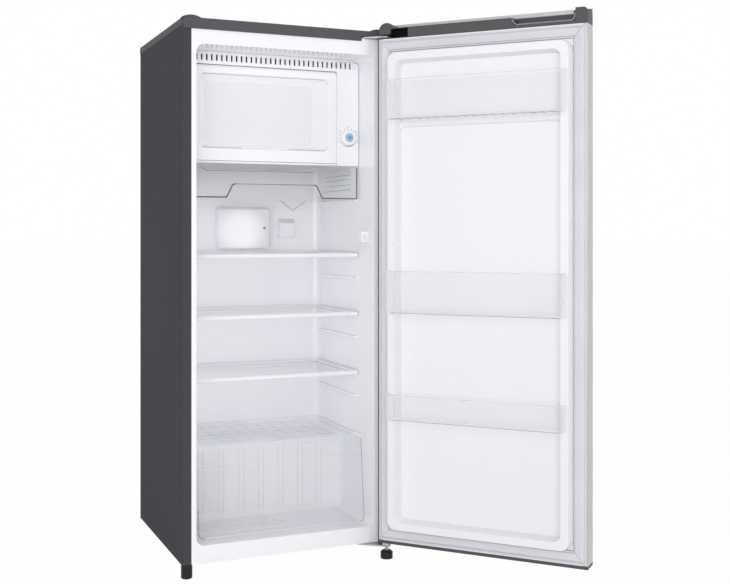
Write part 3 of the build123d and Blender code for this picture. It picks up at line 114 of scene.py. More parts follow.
class RefrigeratorColours(bpy.types.PropertyGroup):
    side: colour("Side paint", "Painted steel of the side panels", 73, 74, 78)
    lid: colour("Lid", "Grained plastic of the lid", 90, 91, 94)
    cap: colour("Door caps", "Grained plastic of the door caps", 82, 83, 86)
    door: colour("Door paint", "Silver paint of the door skin", 190, 190, 188)
    rear: colour("Rear sheet", "Painted steel of the back and the base", 120, 122, 124)
    lining: colour("Door lining", "White moulding of the door's inside", 239, 239, 243)
    room: colour("Room lining", "White moulding of the food space and its fittings", 246, 246, 250)
    # Flap panel: darker than the room lining, painted shade in the flap's recess.
    panel: colour("Flap panel", "White of the freezer flap's sunk panel", 233, 234, 238)
    clear: colour("Clear moulding", "Tint of the clear drawer and the bins' edges", 230, 231, 236)
    bin: colour("Door bin", "Tint of the clear door bins", 204, 206, 212)
    pane: colour("Pane", "Tint of the shelf panes", 224, 229, 232)
    seal: colour("Seal", "Soft grey seal of the door", 221, 220, 227)
    rubber: colour("Rubber", "Black rubber of the grommets", 30, 30, 31)
    black: colour("Black plastic", "Black plastic of the feet and relay", 24, 24, 27)
    zinc: colour("Zinc", "Plated steel of brackets and screws", 170, 172, 172)
    cooler: colour("Cooler", "Aluminium sheet of the evaporator", 205, 208, 210)
    enamel: colour("Enamel", "Black enamel of the condenser and compressor", 26, 26, 27)
    copper: colour("Copper", "Copper of the pipes", 196, 122, 86)
    # Lamp cover: its colour runs from the rim's grey to this white, a painted glow over the lamp;
    # this white also tints the bulb.
    lamp: colour("Lamp cover", "Opal cover in front of the lamp", 247, 247, 251)
    lamp_rim: colour("Lamp cover rim", "Opal cover away from the lamp", 212, 213, 217)
    blue: colour("Button", "Sky blue of the defrost button", 150, 196, 226)
    # Marking: also the grey of the painted shadow line in the freezer frame's seam.
    mark: colour("Marking", "Grey of the dial's printed marks", 70, 72, 78)
    spot: colour("Button spot", "Spot in the middle of the button", 96, 152, 202)
    # Painted shade: the near-black line that a clear moulding's thick edge shows on the chill tray
    # and the crisper.
    edge: colour("Dark edge", "Dark line in a clear moulding's edge", 58, 60, 64)
    # Painted shade: grey of the lines that stand for shade along clear edges, ridges and flutes, at
    # the seal's foot and on the upper bin's ribs.
    shade_line: colour("Soft edge", "Grey line in a clear moulding's edge", 150, 153, 158)
    # Also the lighter tint of the chill tray and the crisper cover, which is painted light.
    bright: colour("Bright edge", "Edge of a clear moulding that gathers light", 244, 246, 248)
    # Grip rim: lighter grey that paints the highlight along the grip's lower lip.
    grip: colour("Grip rim", "Lighter rim of the door's grip", 146, 147, 152)
    foam: colour("Foam", "Insulation foam", 226, 205, 150)
    floor: colour("Floor", "Pale studio floor", 244, 244, 244)


class RefrigeratorSizes(bpy.types.PropertyGroup):
    edge_ease: length("Edge ease", "Width of the eased edges of every panel", 0.35)
    seal_lip: length("Seal lip", "Height of the seal's flat lips", 2.6)
    seal_groove: length("Seal groove", "Width of the grooves beside the seal's bulb", 1.2)
    seal_mitre: length("Seal mitre", "Half the open line at the seal's mitred corners", 0.4)
    screw_radius: length("Screw radius", "Radius of a hinge screw's head", 4.0)
    screw_slot: length("Screw slot", "Width of a screw's cross slot", 1.3)
    tick_count: number("Tick count", "Ticks round the dial", 11)
    tick_length: length("Tick length", "Length of a tick", 3.0)
    tick_width: length("Tick width", "Width of a tick", 1.2)
    tick_gap: length("Tick gap", "Space from the knob to its ticks", 3.4)
    figure_height: length("Figure height", "Height of the dial's numbers", 6.4)
    print_depth: length("Print depth", "Thickness of a printed mark", 0.12)
    figure_gap: length("Figure gap", "Space from the knob's rim to the middle of the numbers", 7.4)
    arc_width: length("Arc width", "Greatest width of the dial's swelling arc", 2.4)
    bead_radius: length("Bead radius", "Radius of the beads along clear edges", 1.1)
    line_radius: length("Line radius", "Radius of the fine lines in clear edges", 0.55)
    rib_height: length("Rib height", "Height of moulded ribs", 1.6)
    rib_width: length("Rib width", "Width of moulded ribs", 2.4)
    panel_depth: length("Panel depth", "How deep the freezer flap's panel lies", 8.6)
    bin_ribs: number("Bin ribs", "Ribs along a door bin's floor", 17)
    cover_ribs: number("Cover ribs", "Ribs along the crisper cover", 12)
    crisper_ribs: number("Crisper ribs", "Slanted ribs along the crisper's floor", 9)
    boss_columns: number("Boss columns", "Bosses in a row on the crisper cover", 14)
    boss_rows: number("Boss rows", "Rows of bosses on the crisper cover", 2)
    boss_pitch: length("Boss pitch", "Distance from boss to boss", 14.0)


class RefrigeratorStage(bpy.types.PropertyGroup):
    camera_place: FloatVectorProperty(
        name="Camera place", description="Where the camera stands",
        default=(-1.1453, -2.4910, 0.8253), subtype="TRANSLATION", unit="LENGTH")
    camera_heading: FloatProperty(
        name="Camera heading", description="Turn of the camera about the vertical",
        default=math.radians(-23.549), subtype="ANGLE")
    camera_lens: FloatProperty(
        name="Lens", description="Focal length in millimetres", default=53.49)
    camera_shift: FloatProperty(
        name="Shift", description="Upward shift of the picture", default=-0.0834)
    ambient: FloatProperty(
        name="Ambient", description="Strength of the light from all round", default=0.5)
    key_power: power("Key light", "Light from the front", 53.0)
    fill_power: power("Fill light", "Light from the right", 15.0)
    top_power: power("Top light", "Light from above", 9.0)
    left_power: power("Left light", "Light from the left", 24.0)
    room_power: power("Room light", "Light into the food space", 0.05)
    wall_power: power("Wall light", "Light across the food space", 0.42)


def choices(context):
    """The colours and the sizes that are set."""
    return context.scene.refrigerator_colours, context.scene.refrigerator_sizes


# ---------------------------------------------------------------- finishes

def feed(tree, socket, value):
    """Links an input to a node's output, or sets it to a plain value."""
    if isinstance(value, bpy.types.NodeSocket):
        tree.links.new(value, socket)
    else:
        socket.default_value = value


def add_node(tree, kind, inputs=(), **options):
    """Node of a kind, with its options set and its inputs fed."""
    node = tree.nodes.new(kind)
    for option, value in options.items():
        setattr(node, option, value)
    for socket, value in dict(inputs).items():
        feed(tree, node.inputs[socket], value)
    return node


class Finish:
    """A material built in layers on a piece's own coordinates."""

    def __init__(self, name, shade, roughness, metallic=0.0, alpha=1.0, turn=0.0):
        self.material = bpy.data.materials.new(name)
        self.material.use_nodes = True
        self.tree = self.material.node_tree
        self.shader = self.tree.nodes["Principled BSDF"]
        self.shade = tuple(shade)
        self.base = (*self.shade, 1)
        self.normal = None
        self.set({"Base Color": self.base, "Roughness": roughness,
                  "Metallic": metallic, "Alpha": alpha})
        self.place = self.add("ShaderNodeTexCoord").outputs["Object"]
        if turn:
            self.place = self.mapped(Rotation=(0, 0, turn))

    def add(self, kind, inputs=(), **options):
        return add_node(self.tree, kind, inputs, **options)

    def set(self, inputs):
        for socket, value in inputs.items():
            feed(self.tree, self.shader.inputs[socket], value)

    def tinted(self, *factors):
        """The shade made stronger or weaker, by one factor or one for each part."""
        return tuple(min(1, part * factor) for part, factor in zip(self.shade, factors * 3))

    def mapped(self, **mapping):
        """The piece's coordinates, moved, turned or drawn out."""
        return self.add("ShaderNodeMapping", {"Vector": self.place, **mapping}).outputs["Vector"]

    def noise(self, scale, detail=2.0, stretch=None):
        """Soft random pattern with so many waves to the metre."""
        place = self.mapped(Scale=stretch) if stretch else self.place
        inputs = {"Vector": place, "Scale": scale, "Detail": detail}
        return self.add("ShaderNodeTexNoise", inputs).outputs[0]

    def cells(self, scale, output="Distance"):
        """Cell pattern with so many cells to the metre."""
        inputs = {"Vector": self.place, "Scale": scale}
        return self.add("ShaderNodeTexVoronoi", inputs).outputs[output]

    def spread(self, pattern, low, high):
        """A pattern's middle range laid out between two values."""
        return self.add("ShaderNodeMapRange", {
            "Value": pattern, "From Min": PATTERN_LOW, "From Max": PATTERN_HIGH,
            "To Min": low, "To Max": high}).outputs["Result"]

    def mottle(self, pattern, amount, tint=None):
        """Mixes a darker or tinted colour in by a pattern."""
        share = self.spread(pattern, 0, amount if tint else 1)
        second = (*(tint or self.tinted(1 - amount)), 1)
        inputs = {MIX_SHARE: share, MIX_FIRST: self.base, MIX_SECOND: second}
        self.base = self.add("ShaderNodeMix", inputs, data_type="RGBA").outputs[MIX_RESULT]
        self.set({"Base Color": self.base})

    def polish(self, pattern, low, high):
        """Varies the gloss by a pattern."""
        self.set({"Roughness": self.spread(pattern, low, high)})

    def relief(self, pattern, depth, strength):
        """Raises the surface by a pattern."""
        inputs = {"Height": pattern, "Distance": depth, "Strength": strength}
        if self.normal:
            inputs["Normal"] = self.normal
        self.normal = self.add("ShaderNodeBump", inputs).outputs["Normal"]
        self.set({"Normal": self.normal})


def painted_steel(name, shade, roughness, gloss=0.25):
    """Sprayed paint with a fine orange peel and faint handling marks."""
    finish = Finish(name, shade, roughness)
    finish.set({"Specular IOR Level": gloss})
    finish.mottle(finish.noise(1.5), 0.05)
    finish.mottle(finish.noise(420, 3), 0.05, finish.tinted(1.12))
    finish.polish(finish.noise(220, 3), roughness - 0.04, roughness + 0.05)
    finish.relief(finish.noise(650), 0.12 * MM, 0.22)
    return finish.material


def silver_paint(name, shade):
    """Silver paint whose fine flake runs up the door."""
    finish = Finish(name, shade, 0.36, metallic=0.25, turn=-DOOR_ANGLE)
    finish.mottle(finish.noise(900, 2, (1, 1, 0.03)), 0.1)
    finish.mottle(finish.cells(1500), 0.25, finish.tinted(1.2))
    finish.polish(finish.noise(60, 3, (1, 1, 0.1)), 0.3, 0.42)
    finish.relief(finish.noise(1200), 0.05 * MM, 0.2)
    return finish.material


def grained_plastic(name, shade, roughness=0.5, gloss=0.25):
    """Plastic with a fine leathery grain and slightly darker hollows."""
    finish = Finish(name, shade, roughness)
    finish.set({"Specular IOR Level": gloss})
    cells = finish.cells(520)
    finish.mottle(finish.noise(3), 0.05)
    finish.mottle(cells, 0.3, finish.tinted(0.86))
    finish.polish(finish.noise(700), roughness - 0.08, roughness + 0.1)
    finish.relief(cells, 0.18 * MM, 0.3)
    return finish.material


def glossy_moulding(name, shade, roughness=MOULDING_ROUGHNESS):
    """Formed white plastic: glossy, very slightly wavy, a little warmer in patches."""
    finish = Finish(name, shade, roughness)
    finish.mottle(finish.noise(2), 0.012)
    finish.mottle(finish.noise(300, 3), 0.06, finish.tinted(1, 0.99, 0.965))
    finish.polish(finish.noise(90), roughness - 0.02, roughness + 0.03)
    finish.relief(finish.noise(9, 1), 0.4 * MM, 0.06)
    finish.relief(finish.noise(1400), 0.01 * MM, 0.08)
    return finish.material


def lit_cover(name, shade, rim, spot, reach):
    """Opal plastic with a painted glow: palest over the lamp behind it and giving off a faint light
    of its own.
    """
    finish = Finish(name, rim, 0.32)
    place = finish.mapped(Location=tuple(-part / reach for part in spot), Scale=(1 / reach,) * 3)
    ball = finish.add("ShaderNodeTexGradient", {"Vector": place}, gradient_type="SPHERICAL")
    # Painted glow: a pool of lamp light painted into the colour around the spot.
    finish.mottle(ball.outputs["Fac"], 1, tuple(shade))
    finish.polish(finish.noise(90), 0.3, 0.35)
    finish.relief(finish.noise(9, 1), 0.4 * MM, 0.06)
    # Painted glow: the cover gives off a faint light of its own.
    finish.set({"Emission Color": (*shade, 1), "Emission Strength": 0.15})
    return finish.material


def clear_plastic(name, shade, alpha, roughness=0.14):
    """Clear moulding with flow marks and fine scuffs."""
    finish = Finish(name, shade, roughness, alpha=alpha)
    finish.set({"IOR": CLEAR_IOR})
    finish.mottle(finish.noise(14, 3, (1, 1, 0.35)), 0.06)
    finish.mottle(finish.noise(500), 0.3, finish.tinted(0.94))
    finish.polish(finish.noise(70, 4), roughness - 0.06, roughness + 0.14)
    finish.relief(finish.noise(30), 0.5 * MM, 0.15)
    return finish.material


def soft_rubber(name, shade, roughness):
    """Soft moulded rubber with a powdery bloom."""
    finish = Finish(name, shade, roughness)
    finish.set({"Specular IOR Level": 0.25, "Sheen Weight": 0.04})
    finish.mottle(finish.noise(9, 3), 0.06)
    finish.mottle(finish.noise(350, 3), 0.4, finish.tinted(0.93))
    finish.polish(finish.noise(50, 3), roughness - 0.1, roughness + 0.12)
    finish.relief(finish.noise(900), 0.08 * MM, 0.25)
    return finish.material


def bare_metal(name, shade, roughness, tarnish, grain=None):
    """Bare or plated metal with spangle, drawn grain and a breath of tarnish."""
    finish = Finish(name, shade, roughness, metallic=1.0)
    finish.mottle(finish.cells(160, "Color"), 0.1)
    finish.mottle(finish.noise(18, 4), 0.6, tarnish)
    finish.polish(finish.noise(300, 3, grain), roughness - 0.08, roughness + 0.14)
    finish.relief(finish.noise(800, 2, grain), 0.05 * MM, 0.25)
    return finish.material


def rigid_foam(name, shade):
    """Poured foam with open cells."""
    finish = Finish(name, shade, 0.9)
    cells = finish.cells(420)
    finish.mottle(finish.noise(12, 3), 0.12)
    finish.mottle(cells, 0.5, finish.tinted(0.7))
    finish.relief(cells, 0.8 * MM, 0.6)
    return finish.material


def ink_and_shadow_line(name, shade):
    """Ink with a slightly uneven film, for printed marks and for lines of painted shadow."""
    finish = Finish(name, shade, 0.45)
    finish.mottle(finish.noise(600, 3), 0.12)
    finish.polish(finish.noise(300), 0.38, 0.55)
    finish.relief(finish.noise(1500), 0.02 * MM, 0.2)
    return finish.material


def bright_edge(name, shade, alpha):
    """Thick edge of a clear moulding, where it gathers light."""
    finish = Finish(name, shade, 0.18, alpha=alpha)
    finish.mottle(finish.noise(40, 3), 0.06)
    finish.polish(finish.noise(120, 3), 0.12, 0.26)
    finish.relief(finish.noise(300), 0.06 * MM, 0.2)
    return finish.material


# ---------------------------------------------------------------- shapes

def even_shading(piece):
    """Keeps flat faces flat beside rounded ones."""
    piece.modifiers.new("Even shading", "WEIGHTED_NORMAL").weight = 100


def dress(material, *nodes, ease=None):
    """Gives modelled nodes a finish and eased edges that catch the light."""
    for node in nodes:
        piece = frame["nodes"][node]
        for slot in piece.material_slots:
            slot.material = material
        weld = piece.modifiers.new("Joined facets", "WELD")
        weld.merge_threshold = WELD_DISTANCE
        bevel = piece.modifiers.new("Eased edges", "BEVEL")
        bevel.limit_method = "ANGLE"
        bevel.angle_limit = EDGE_ANGLE
        bevel.width = ease or bpy.context.scene.refrigerator_sizes.edge_ease
        bevel.segments = 2
        bevel.use_clamp_overlap = False
        even_shading(piece)


def held(name, data):
    """Object in the scene for a mesh, a curve, a light or a camera."""
    holder = bpy.data.objects.new(name, data)
    bpy.context.collection.objects.link(holder)
    return holder


def new_piece(name, mesh, body):
    """Adds a finished mesh as a piece that moves with a body."""
    mesh.name = name
    piece = held(name, mesh)
    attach(piece, body)
    return piece


def door_piece(name, mesh, body):
    """Adds a piece that was drawn with the door shut, turned to the open door."""
    mesh.transform(DOOR_OPEN)
    return new_piece(name, mesh, body)


def corners(node):
    """Lowest and highest corner of a node."""
    return [Vector(corner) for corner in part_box(node)]


def shut_box(node):
    """Lowest and highest corner of a door node with the door shut."""
    turn = DOOR_OPEN.inverted()
    points = [turn @ vertex.co for vertex in frame["nodes"][node].data.vertices]
    return [Vector([pick(point[axis] for point in points) for axis in range(3)])
            for pick in (min, max)]


def angles(start, end, steps):
    """Angles in even steps between two that are given in degrees."""
    return [math.radians(start + (end - start) * step / steps) for step in range(steps + 1)]


def lofted(lofts, material, smooth=False):
    """Mesh of closed solids, each skinned over a row of rings with as many points."""
    points, faces = [], []
    for rings in lofts:
        count, base = len(rings[0]), len(points)
        last = base + (len(rings) - 1) * count
        points += [point for ring in rings for point in ring]
        faces += [tuple(range(cap, cap + count)) for cap in (base, last)]
        for near in range(base, last, count):
            for step in range(count):
                after = (step + 1) % count
                faces.append((near + step, near + after, near + count + after, near + count + step))
    mesh = bpy.data.meshes.new("solid")
    mesh.from_pydata(points, [], faces)
    shape = bmesh.new()
    shape.from_mesh(mesh)
    bmesh.ops.recalc_face_normals(shape, faces=shape.faces)
    shape.to_mesh(mesh)
    shape.free()
    mesh.materials.append(material)
    for face in mesh.polygons:
        face.use_smooth = smooth and len(face.vertices) == 4
    return mesh


def painted(mesh, material):
    """The mesh with one finish all over."""
    mesh.materials.clear()
    mesh.materials.append(material)
    mesh.polygons.foreach_set("material_index", [0] * len(mesh.polygons))
    return mesh


def realised(holder):
    """Plain mesh of an object with its modifiers applied; the object goes."""
    bpy.context.view_layer.update()
    graph = bpy.context.evaluated_depsgraph_get()
    mesh = bpy.data.meshes.new_from_object(holder.evaluated_get(graph), depsgraph=graph)
    bpy.data.objects.remove(holder)
    return mesh


def bead_mesh(runs, radius, material, closed=False):
    """Round bead along runs of straight lines."""
    curve = bpy.data.curves.new("bead", "CURVE")
    curve.dimensions = "3D"
    curve.bevel_depth = radius
    curve.bevel_resolution = 2
    curve.use_fill_caps = True
    for points in runs:
        spline = curve.splines.new("POLY")
        spline.points.add(len(points) - 1)
        spline.use_cyclic_u = closed
        for target, point in zip(spline.points, points):
            target.co = (*point, 1)
    mesh = painted(realised(held("bead", curve)), material)
    for face in mesh.polygons:
        face.use_smooth = True
    return mesh


def joined(meshes):
    """One mesh from several that share a material."""
    shape = bmesh.new()
    for mesh in meshes:
        shape.from_mesh(mesh)
    whole = bpy.data.meshes.new("whole")
    shape.to_mesh(whole)
    shape.free()
    return painted(whole, meshes[0].materials[0])


def node_tree(name, **inputs):
    """Geometry tree with named inputs, its group input and its group output."""
    tree = bpy.data.node_groups.new(name, "GeometryNodeTree")
    add_socket = tree.interface.new_socket
    add_socket("Geometry", in_out="OUTPUT", socket_type="NodeSocketGeometry")
    inputs = {"Geometry": "Geometry", **inputs, "Place": "Vector", "Tilt": "Rotation",
              "Material": "Material"}
    for label, kind in inputs.items():
        add_socket(label, in_out="INPUT", socket_type="NodeSocket" + kind)
    return tree, add_node(tree, "NodeGroupInput").outputs, add_node(tree, "NodeGroupOutput").inputs


def finish_tree(tree, instances, entry, leave):
    """Sets the copies in place, realises them and gives them their finish."""
    place = add_node(tree, "GeometryNodeTransform", {
        "Geometry": instances, "Translation": entry["Place"], "Rotation": entry["Tilt"]})
    realise = add_node(tree, "GeometryNodeRealizeInstances", {
        "Geometry": place.outputs["Geometry"]})
    paint = add_node(tree, "GeometryNodeSetMaterial", {
        "Geometry": realise.outputs["Geometry"], "Material": entry["Material"]})
    feed(tree, leave["Geometry"], paint.outputs["Geometry"])
    return tree


def drafted_bar(tree, entry):
    """Bar whose top is drawn in, as a mould leaves it."""
    bar = add_node(tree, "GeometryNodeMeshCube", {"Size": entry["Bar"]})
    normal = add_node(tree, "GeometryNodeInputNormal")
    part = add_node(tree, "ShaderNodeSeparateXYZ", {"Vector": normal.outputs["Normal"]})
    upward = add_node(
        tree, "FunctionNodeCompare", {"A": part.outputs["Z"], "B": 0.5}, operation="GREATER_THAN")
    return add_node(tree, "GeometryNodeScaleElements", {
        "Geometry": bar.outputs["Mesh"], "Selection": upward.outputs["Result"],
        "Scale": entry["Draft"]}).outputs["Geometry"]


def grid_tree():
    """Tree that sets out moulded bars in rows and columns."""
    tree, entry, leave = node_tree(
        "Moulded rows", Columns="Int", Rows="Int", Width="Float", Depth="Float", Bar="Vector",
        Draft="Float", Turn="Rotation")
    grid = add_node(tree, "GeometryNodeMeshGrid", {
        "Size X": entry["Width"], "Size Y": entry["Depth"],
        "Vertices X": entry["Columns"], "Vertices Y": entry["Rows"]})
    copies = add_node(tree, "GeometryNodeInstanceOnPoints", {
        "Points": grid.outputs["Mesh"], "Instance": drafted_bar(tree, entry),
        "Rotation": entry["Turn"]})
    return finish_tree(tree, copies.outputs["Instances"], entry, leave)


def arc_tree():
    """Tree that sets out ticks along an arc."""
    tree, entry, leave = node_tree(
        "Ticks on an arc", Count="Int", Radius="Float", Start="Float", Sweep="Float",
        Bar="Vector", Draft="Float")
    arc = add_node(tree, "GeometryNodeCurveArc", {
        "Resolution": 64, "Radius": entry["Radius"], "Start Angle": entry["Start"],
        "Sweep Angle": entry["Sweep"]}, mode="RADIUS")
    points = add_node(tree, "GeometryNodeCurveToPoints", {
        "Curve": arc.outputs["Curve"], "Count": entry["Count"]})
    along = add_node(tree, "FunctionNodeAlignRotationToVector", {
        "Vector": points.outputs["Tangent"]}, axis="X", pivot_axis="Z")
    copies = add_node(tree, "GeometryNodeInstanceOnPoints", {
        "Points": points.outputs["Points"], "Instance": drafted_bar(tree, entry),
        "Rotation": along.outputs["Rotation"]})
    return finish_tree(tree, copies.outputs["Instances"], entry, leave)


def screw_tree():
    """Tree that sets a screw head on each point."""
    tree, entry, leave = node_tree("Screws on points", Head="Object")
    head = add_node(tree, "GeometryNodeObjectInfo", {"Object": entry["Head"]})
    copies = add_node(tree, "GeometryNodeInstanceOnPoints", {
        "Points": entry["Geometry"], "Instance": head.outputs["Geometry"]})
    return finish_tree(tree, copies.outputs["Instances"], entry, leave)


def grown(tree, values, points=()):
    """Plain mesh that a geometry tree gives for a set of inputs."""
    mesh = bpy.data.meshes.new("points")
    mesh.from_pydata(points, [], [])
    holder = held("grown", mesh)
    modifier = holder.modifiers.new(tree.name, "NODES")
    modifier.node_group = tree
    for socket in tree.interface.items_tree:
        if socket.in_out == "INPUT" and socket.name in values:
            modifier[socket.identifier] = values[socket.name]
    return painted(realised(holder), values["Material"])


def rows(tree, counts, spread, bar, draft, place, material, turn=0.0):
    """Moulded bars in columns and rows, spread out about a place."""
    return grown(tree, {
        "Columns": counts[0], "Rows": counts[1], "Width": spread[0], "Depth": spread[1], "Bar": bar,
        "Draft": draft, "Turn": Euler((0, 0, turn)), "Place": place, "Material": material})


# ---------------------------------------------------------------- operators

class FinishCabinet(bpy.types.Operator):
    """Paint the outer cabinet, its lid, hinges and feet"""
    bl_idname = "refrigerator.finish_cabinet"
    bl_label = "Cabinet"

    def execute(self, context):
        shades = context.scene.refrigerator_colours
        dress(painted_steel("side_panel_paint", shades.side, roughness=0.55, gloss=0.01),
              "left_side_panel", "right_side_panel", "roof_panel")
        dress(painted_steel("rear_sheet_paint", shades.rear, roughness=0.5),
              "back_panel", "bottom_panel", "compressor_base")
        dress(grained_plastic("lid_grain", shades.lid, roughness=0.55, gloss=0.06), "top_cover")
        dress(bare_metal("zinc_plate", shades.zinc, 0.38, tarnish=tone(128, 128, 122)),
              "top_hinge_bracket", "bottom_hinge_bracket", "right_foot_stud")
        dress(soft_rubber("foot_plastic", shades.black, roughness=0.5),
              "right_foot", "left_foot", "rear_feet")
        dress(rigid_foam("insulation_foam", shades.foam), "cabinet_insulation", "door_insulation")
        return {"FINISHED"}


class FinishLining(bpy.types.Operator):
    """Finish the white mouldings inside the cabinet"""
    bl_idname = "refrigerator.finish_lining"
    bl_label = "Lining"

    def execute(self, context):
        shades = context.scene.refrigerator_colours
        dress(glossy_moulding("lining_gloss", shades.room, roughness=0.1), "inner_liner")
        dress(glossy_moulding("moulding_gloss", shades.room),
              "freezer_front_frame", "freezer_flap", "freezer_flap_back", "thermostat_body",
              "thermostat_knob", "wedge_cover", "lamp_switch_body", "lamp_switch_plunger",
              "lamp_holder", "shelf_frame_1", "shelf_frame_2", "shelf_frame_3")
        # Where the painted glow on the lamp cover is brightest, and how far it spreads.
        low, high = corners("lamp_cover")
        size = high - low
        spot = low + Vector((0.42 * size.x, 0, 0.42 * size.z))
        dress(lit_cover("lamp_opal", shades.lamp, shades.lamp_rim, spot, reach=0.72 * size.x),
              "lamp_cover")
        dress(clear_plastic("bulb_glass", shades.lamp, alpha=0.4, roughness=0.06), "lamp_bulb")
        dress(glossy_moulding("button_blue", shades.blue, roughness=0.3), "defrost_button")
        drawn = (1, 0.05, 1)
        dress(bare_metal("cooler_aluminium", shades.cooler, 0.36, tone(182, 186, 188), drawn),
              "evaporator", "evaporator_hangers")
        return {"FINISHED"}


class FinishClear(bpy.types.Operator):
    """Finish the clear shelves, bins and drawers"""
    bl_idname = "refrigerator.finish_clear"
    bl_label = "Clear Mouldings"

    def execute(self, context):
        shades = context.scene.refrigerator_colours
        dress(clear_plastic("clear_bin", shades.bin, alpha=0.02),
              "upper_door_bin", "middle_door_bin", "lower_door_bin")
        # The tray and the cover take the light edge white, lighter than the drawer's tint, so they
        # read lighter where the space behind lies in shade: painted light.
        dress(clear_plastic("clear_tray", shades.bright, alpha=0.055), "chill_tray")
        dress(clear_plastic("clear_crisper", shades.clear, alpha=0.055), "crisper_drawer")
        dress(clear_plastic("clear_cover", shades.bright, alpha=0.065), "crisper_cover")
        dress(clear_plastic("shelf_glass", shades.pane, alpha=0.12, roughness=0.08),
              "shelf_pane_1", "shelf_pane_2", "shelf_pane_3")
        return {"FINISHED"}


class FinishDoor(bpy.types.Operator):
    """Finish the door's skin, lining and caps"""
    bl_idname = "refrigerator.finish_door"
    bl_label = "Door"

    def execute(self, context):
        shades = context.scene.refrigerator_colours
        dress(silver_paint("door_silver", shades.door), "door_skin")
        dress(glossy_moulding("door_lining_gloss", shades.lining, roughness=0.3), "door_liner")
        dress(grained_plastic("cap_grain", shades.cap),
              "door_top_cap", "door_bottom_cap", ease=1.2 * MM)
        # The pocket's insert is black plastic; its black also stands in for the painted shade of
        # the deep pocket.
        dress(grained_plastic("pocket_black", shades.black, roughness=0.6, gloss=0.02),
              "hinge_pocket_insert")
        dress(glossy_moulding("bush_plastic", shades.lining, roughness=0.35), "door_hinge_bushes")
        return {"FINISHED"}


class FinishRear(bpy.types.Operator):
    """Finish the cooling parts behind the cabinet"""
    bl_idname = "refrigerator.finish_rear"
    bl_label = "Cooling Parts"

    def execute(self, context):
        shades = context.scene.refrigerator_colours
        dress(painted_steel("black_enamel", shades.enamel, roughness=0.3),
              "compressor", "condenser_tube", "condenser_wires", "condenser_brackets")
        dress(soft_rubber("grommet_rubber", shades.rubber, roughness=0.65), "compressor_grommets")
        dress(grained_plastic("relay_plastic", shades.black, roughness=0.45),
              "relay_cover", "drip_tray")
        dress(bare_metal("copper_pipe", shades.copper, 0.3, tarnish=tone(140, 84, 60)),
              "discharge_pipe", "suction_pipe", "filter_drier")
        return {"FINISHED"}


class AddSeal(bpy.types.Operator):
    """Make the door's seal, with its lips, grooves, bulb and mitred corners"""
    bl_idname = "refrigerator.add_seal"
    bl_label = "Door Seal"

    def profile(self, sizes, band, crest):
        """Section of the seal: distance in from its outer edge, and height."""
        lip, groove = sizes.seal_lip, sizes.seal_groove
        start, end, steps = 4.5 * MM, 25 * MM, 8
        points = [(0, 0), (0, 0.7 * lip), (0.3 * lip, lip),
                  (start - groove, lip), (start - 0.5 * groove, 0.6 * lip)]
        for step in range(steps + 1):
            share = step / steps
            rise = math.sin(math.pi * min(1, share * 3) / 2)
            fall = 1 - 0.62 * max(0, share - 0.2) / 0.8
            points.append((start + share * (end - start), lip + (crest - lip) * rise * fall))
        return points + [(end + 0.5 * groove, 0.6 * lip), (end + groove, lip),
                         (band - 0.3 * lip, lip), (band, 0)]

    def execute(self, context):
        shades, sizes = choices(context)
        low, high = shut_box("door_gasket")
        width, height, band = high.x - low.x, high.z - low.z, 30 * MM
        profile = self.profile(sizes, band, high.y - low.y)
        sides = [[], [], [], []]
        for side, rings in enumerate(sides):
            for far in (False, True):
                ring = []
                for inset, rise in profile:
                    run = inset + sizes.seal_mitre
                    if far:
                        run = (width, height)[side % 2] - run
                    x, z = ((run, inset), (width - inset, run), (width - run, height - inset),
                            (inset, height - run))[side]
                    ring.append((low.x + x, low.y + rise, low.z + z))
                rings.append(ring)
        mesh = lofted(sides, soft_rubber("seal_rubber", shades.seal, roughness=0.5))
        piece = door_piece("door_seal", mesh, "door")
        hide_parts("door_gasket")
        # Painted shadow: a grey line along the seal's inner foot, where it meets the lining.
        line = sizes.line_radius
        inset = band + line
        left, right, bottom, top = low.x + inset, high.x - inset, low.z + inset, high.z - inset
        foot = [(x, low.y + line, z) for x, z in
                ((left, bottom), (right, bottom), (right, top), (left, top))]
        shadow = ink_and_shadow_line("seal_foot_shadow", shades.shade_line)
        door_piece("seal_foot", bead_mesh([foot], line, shadow, closed=True), "door")
        return {"FINISHED"}


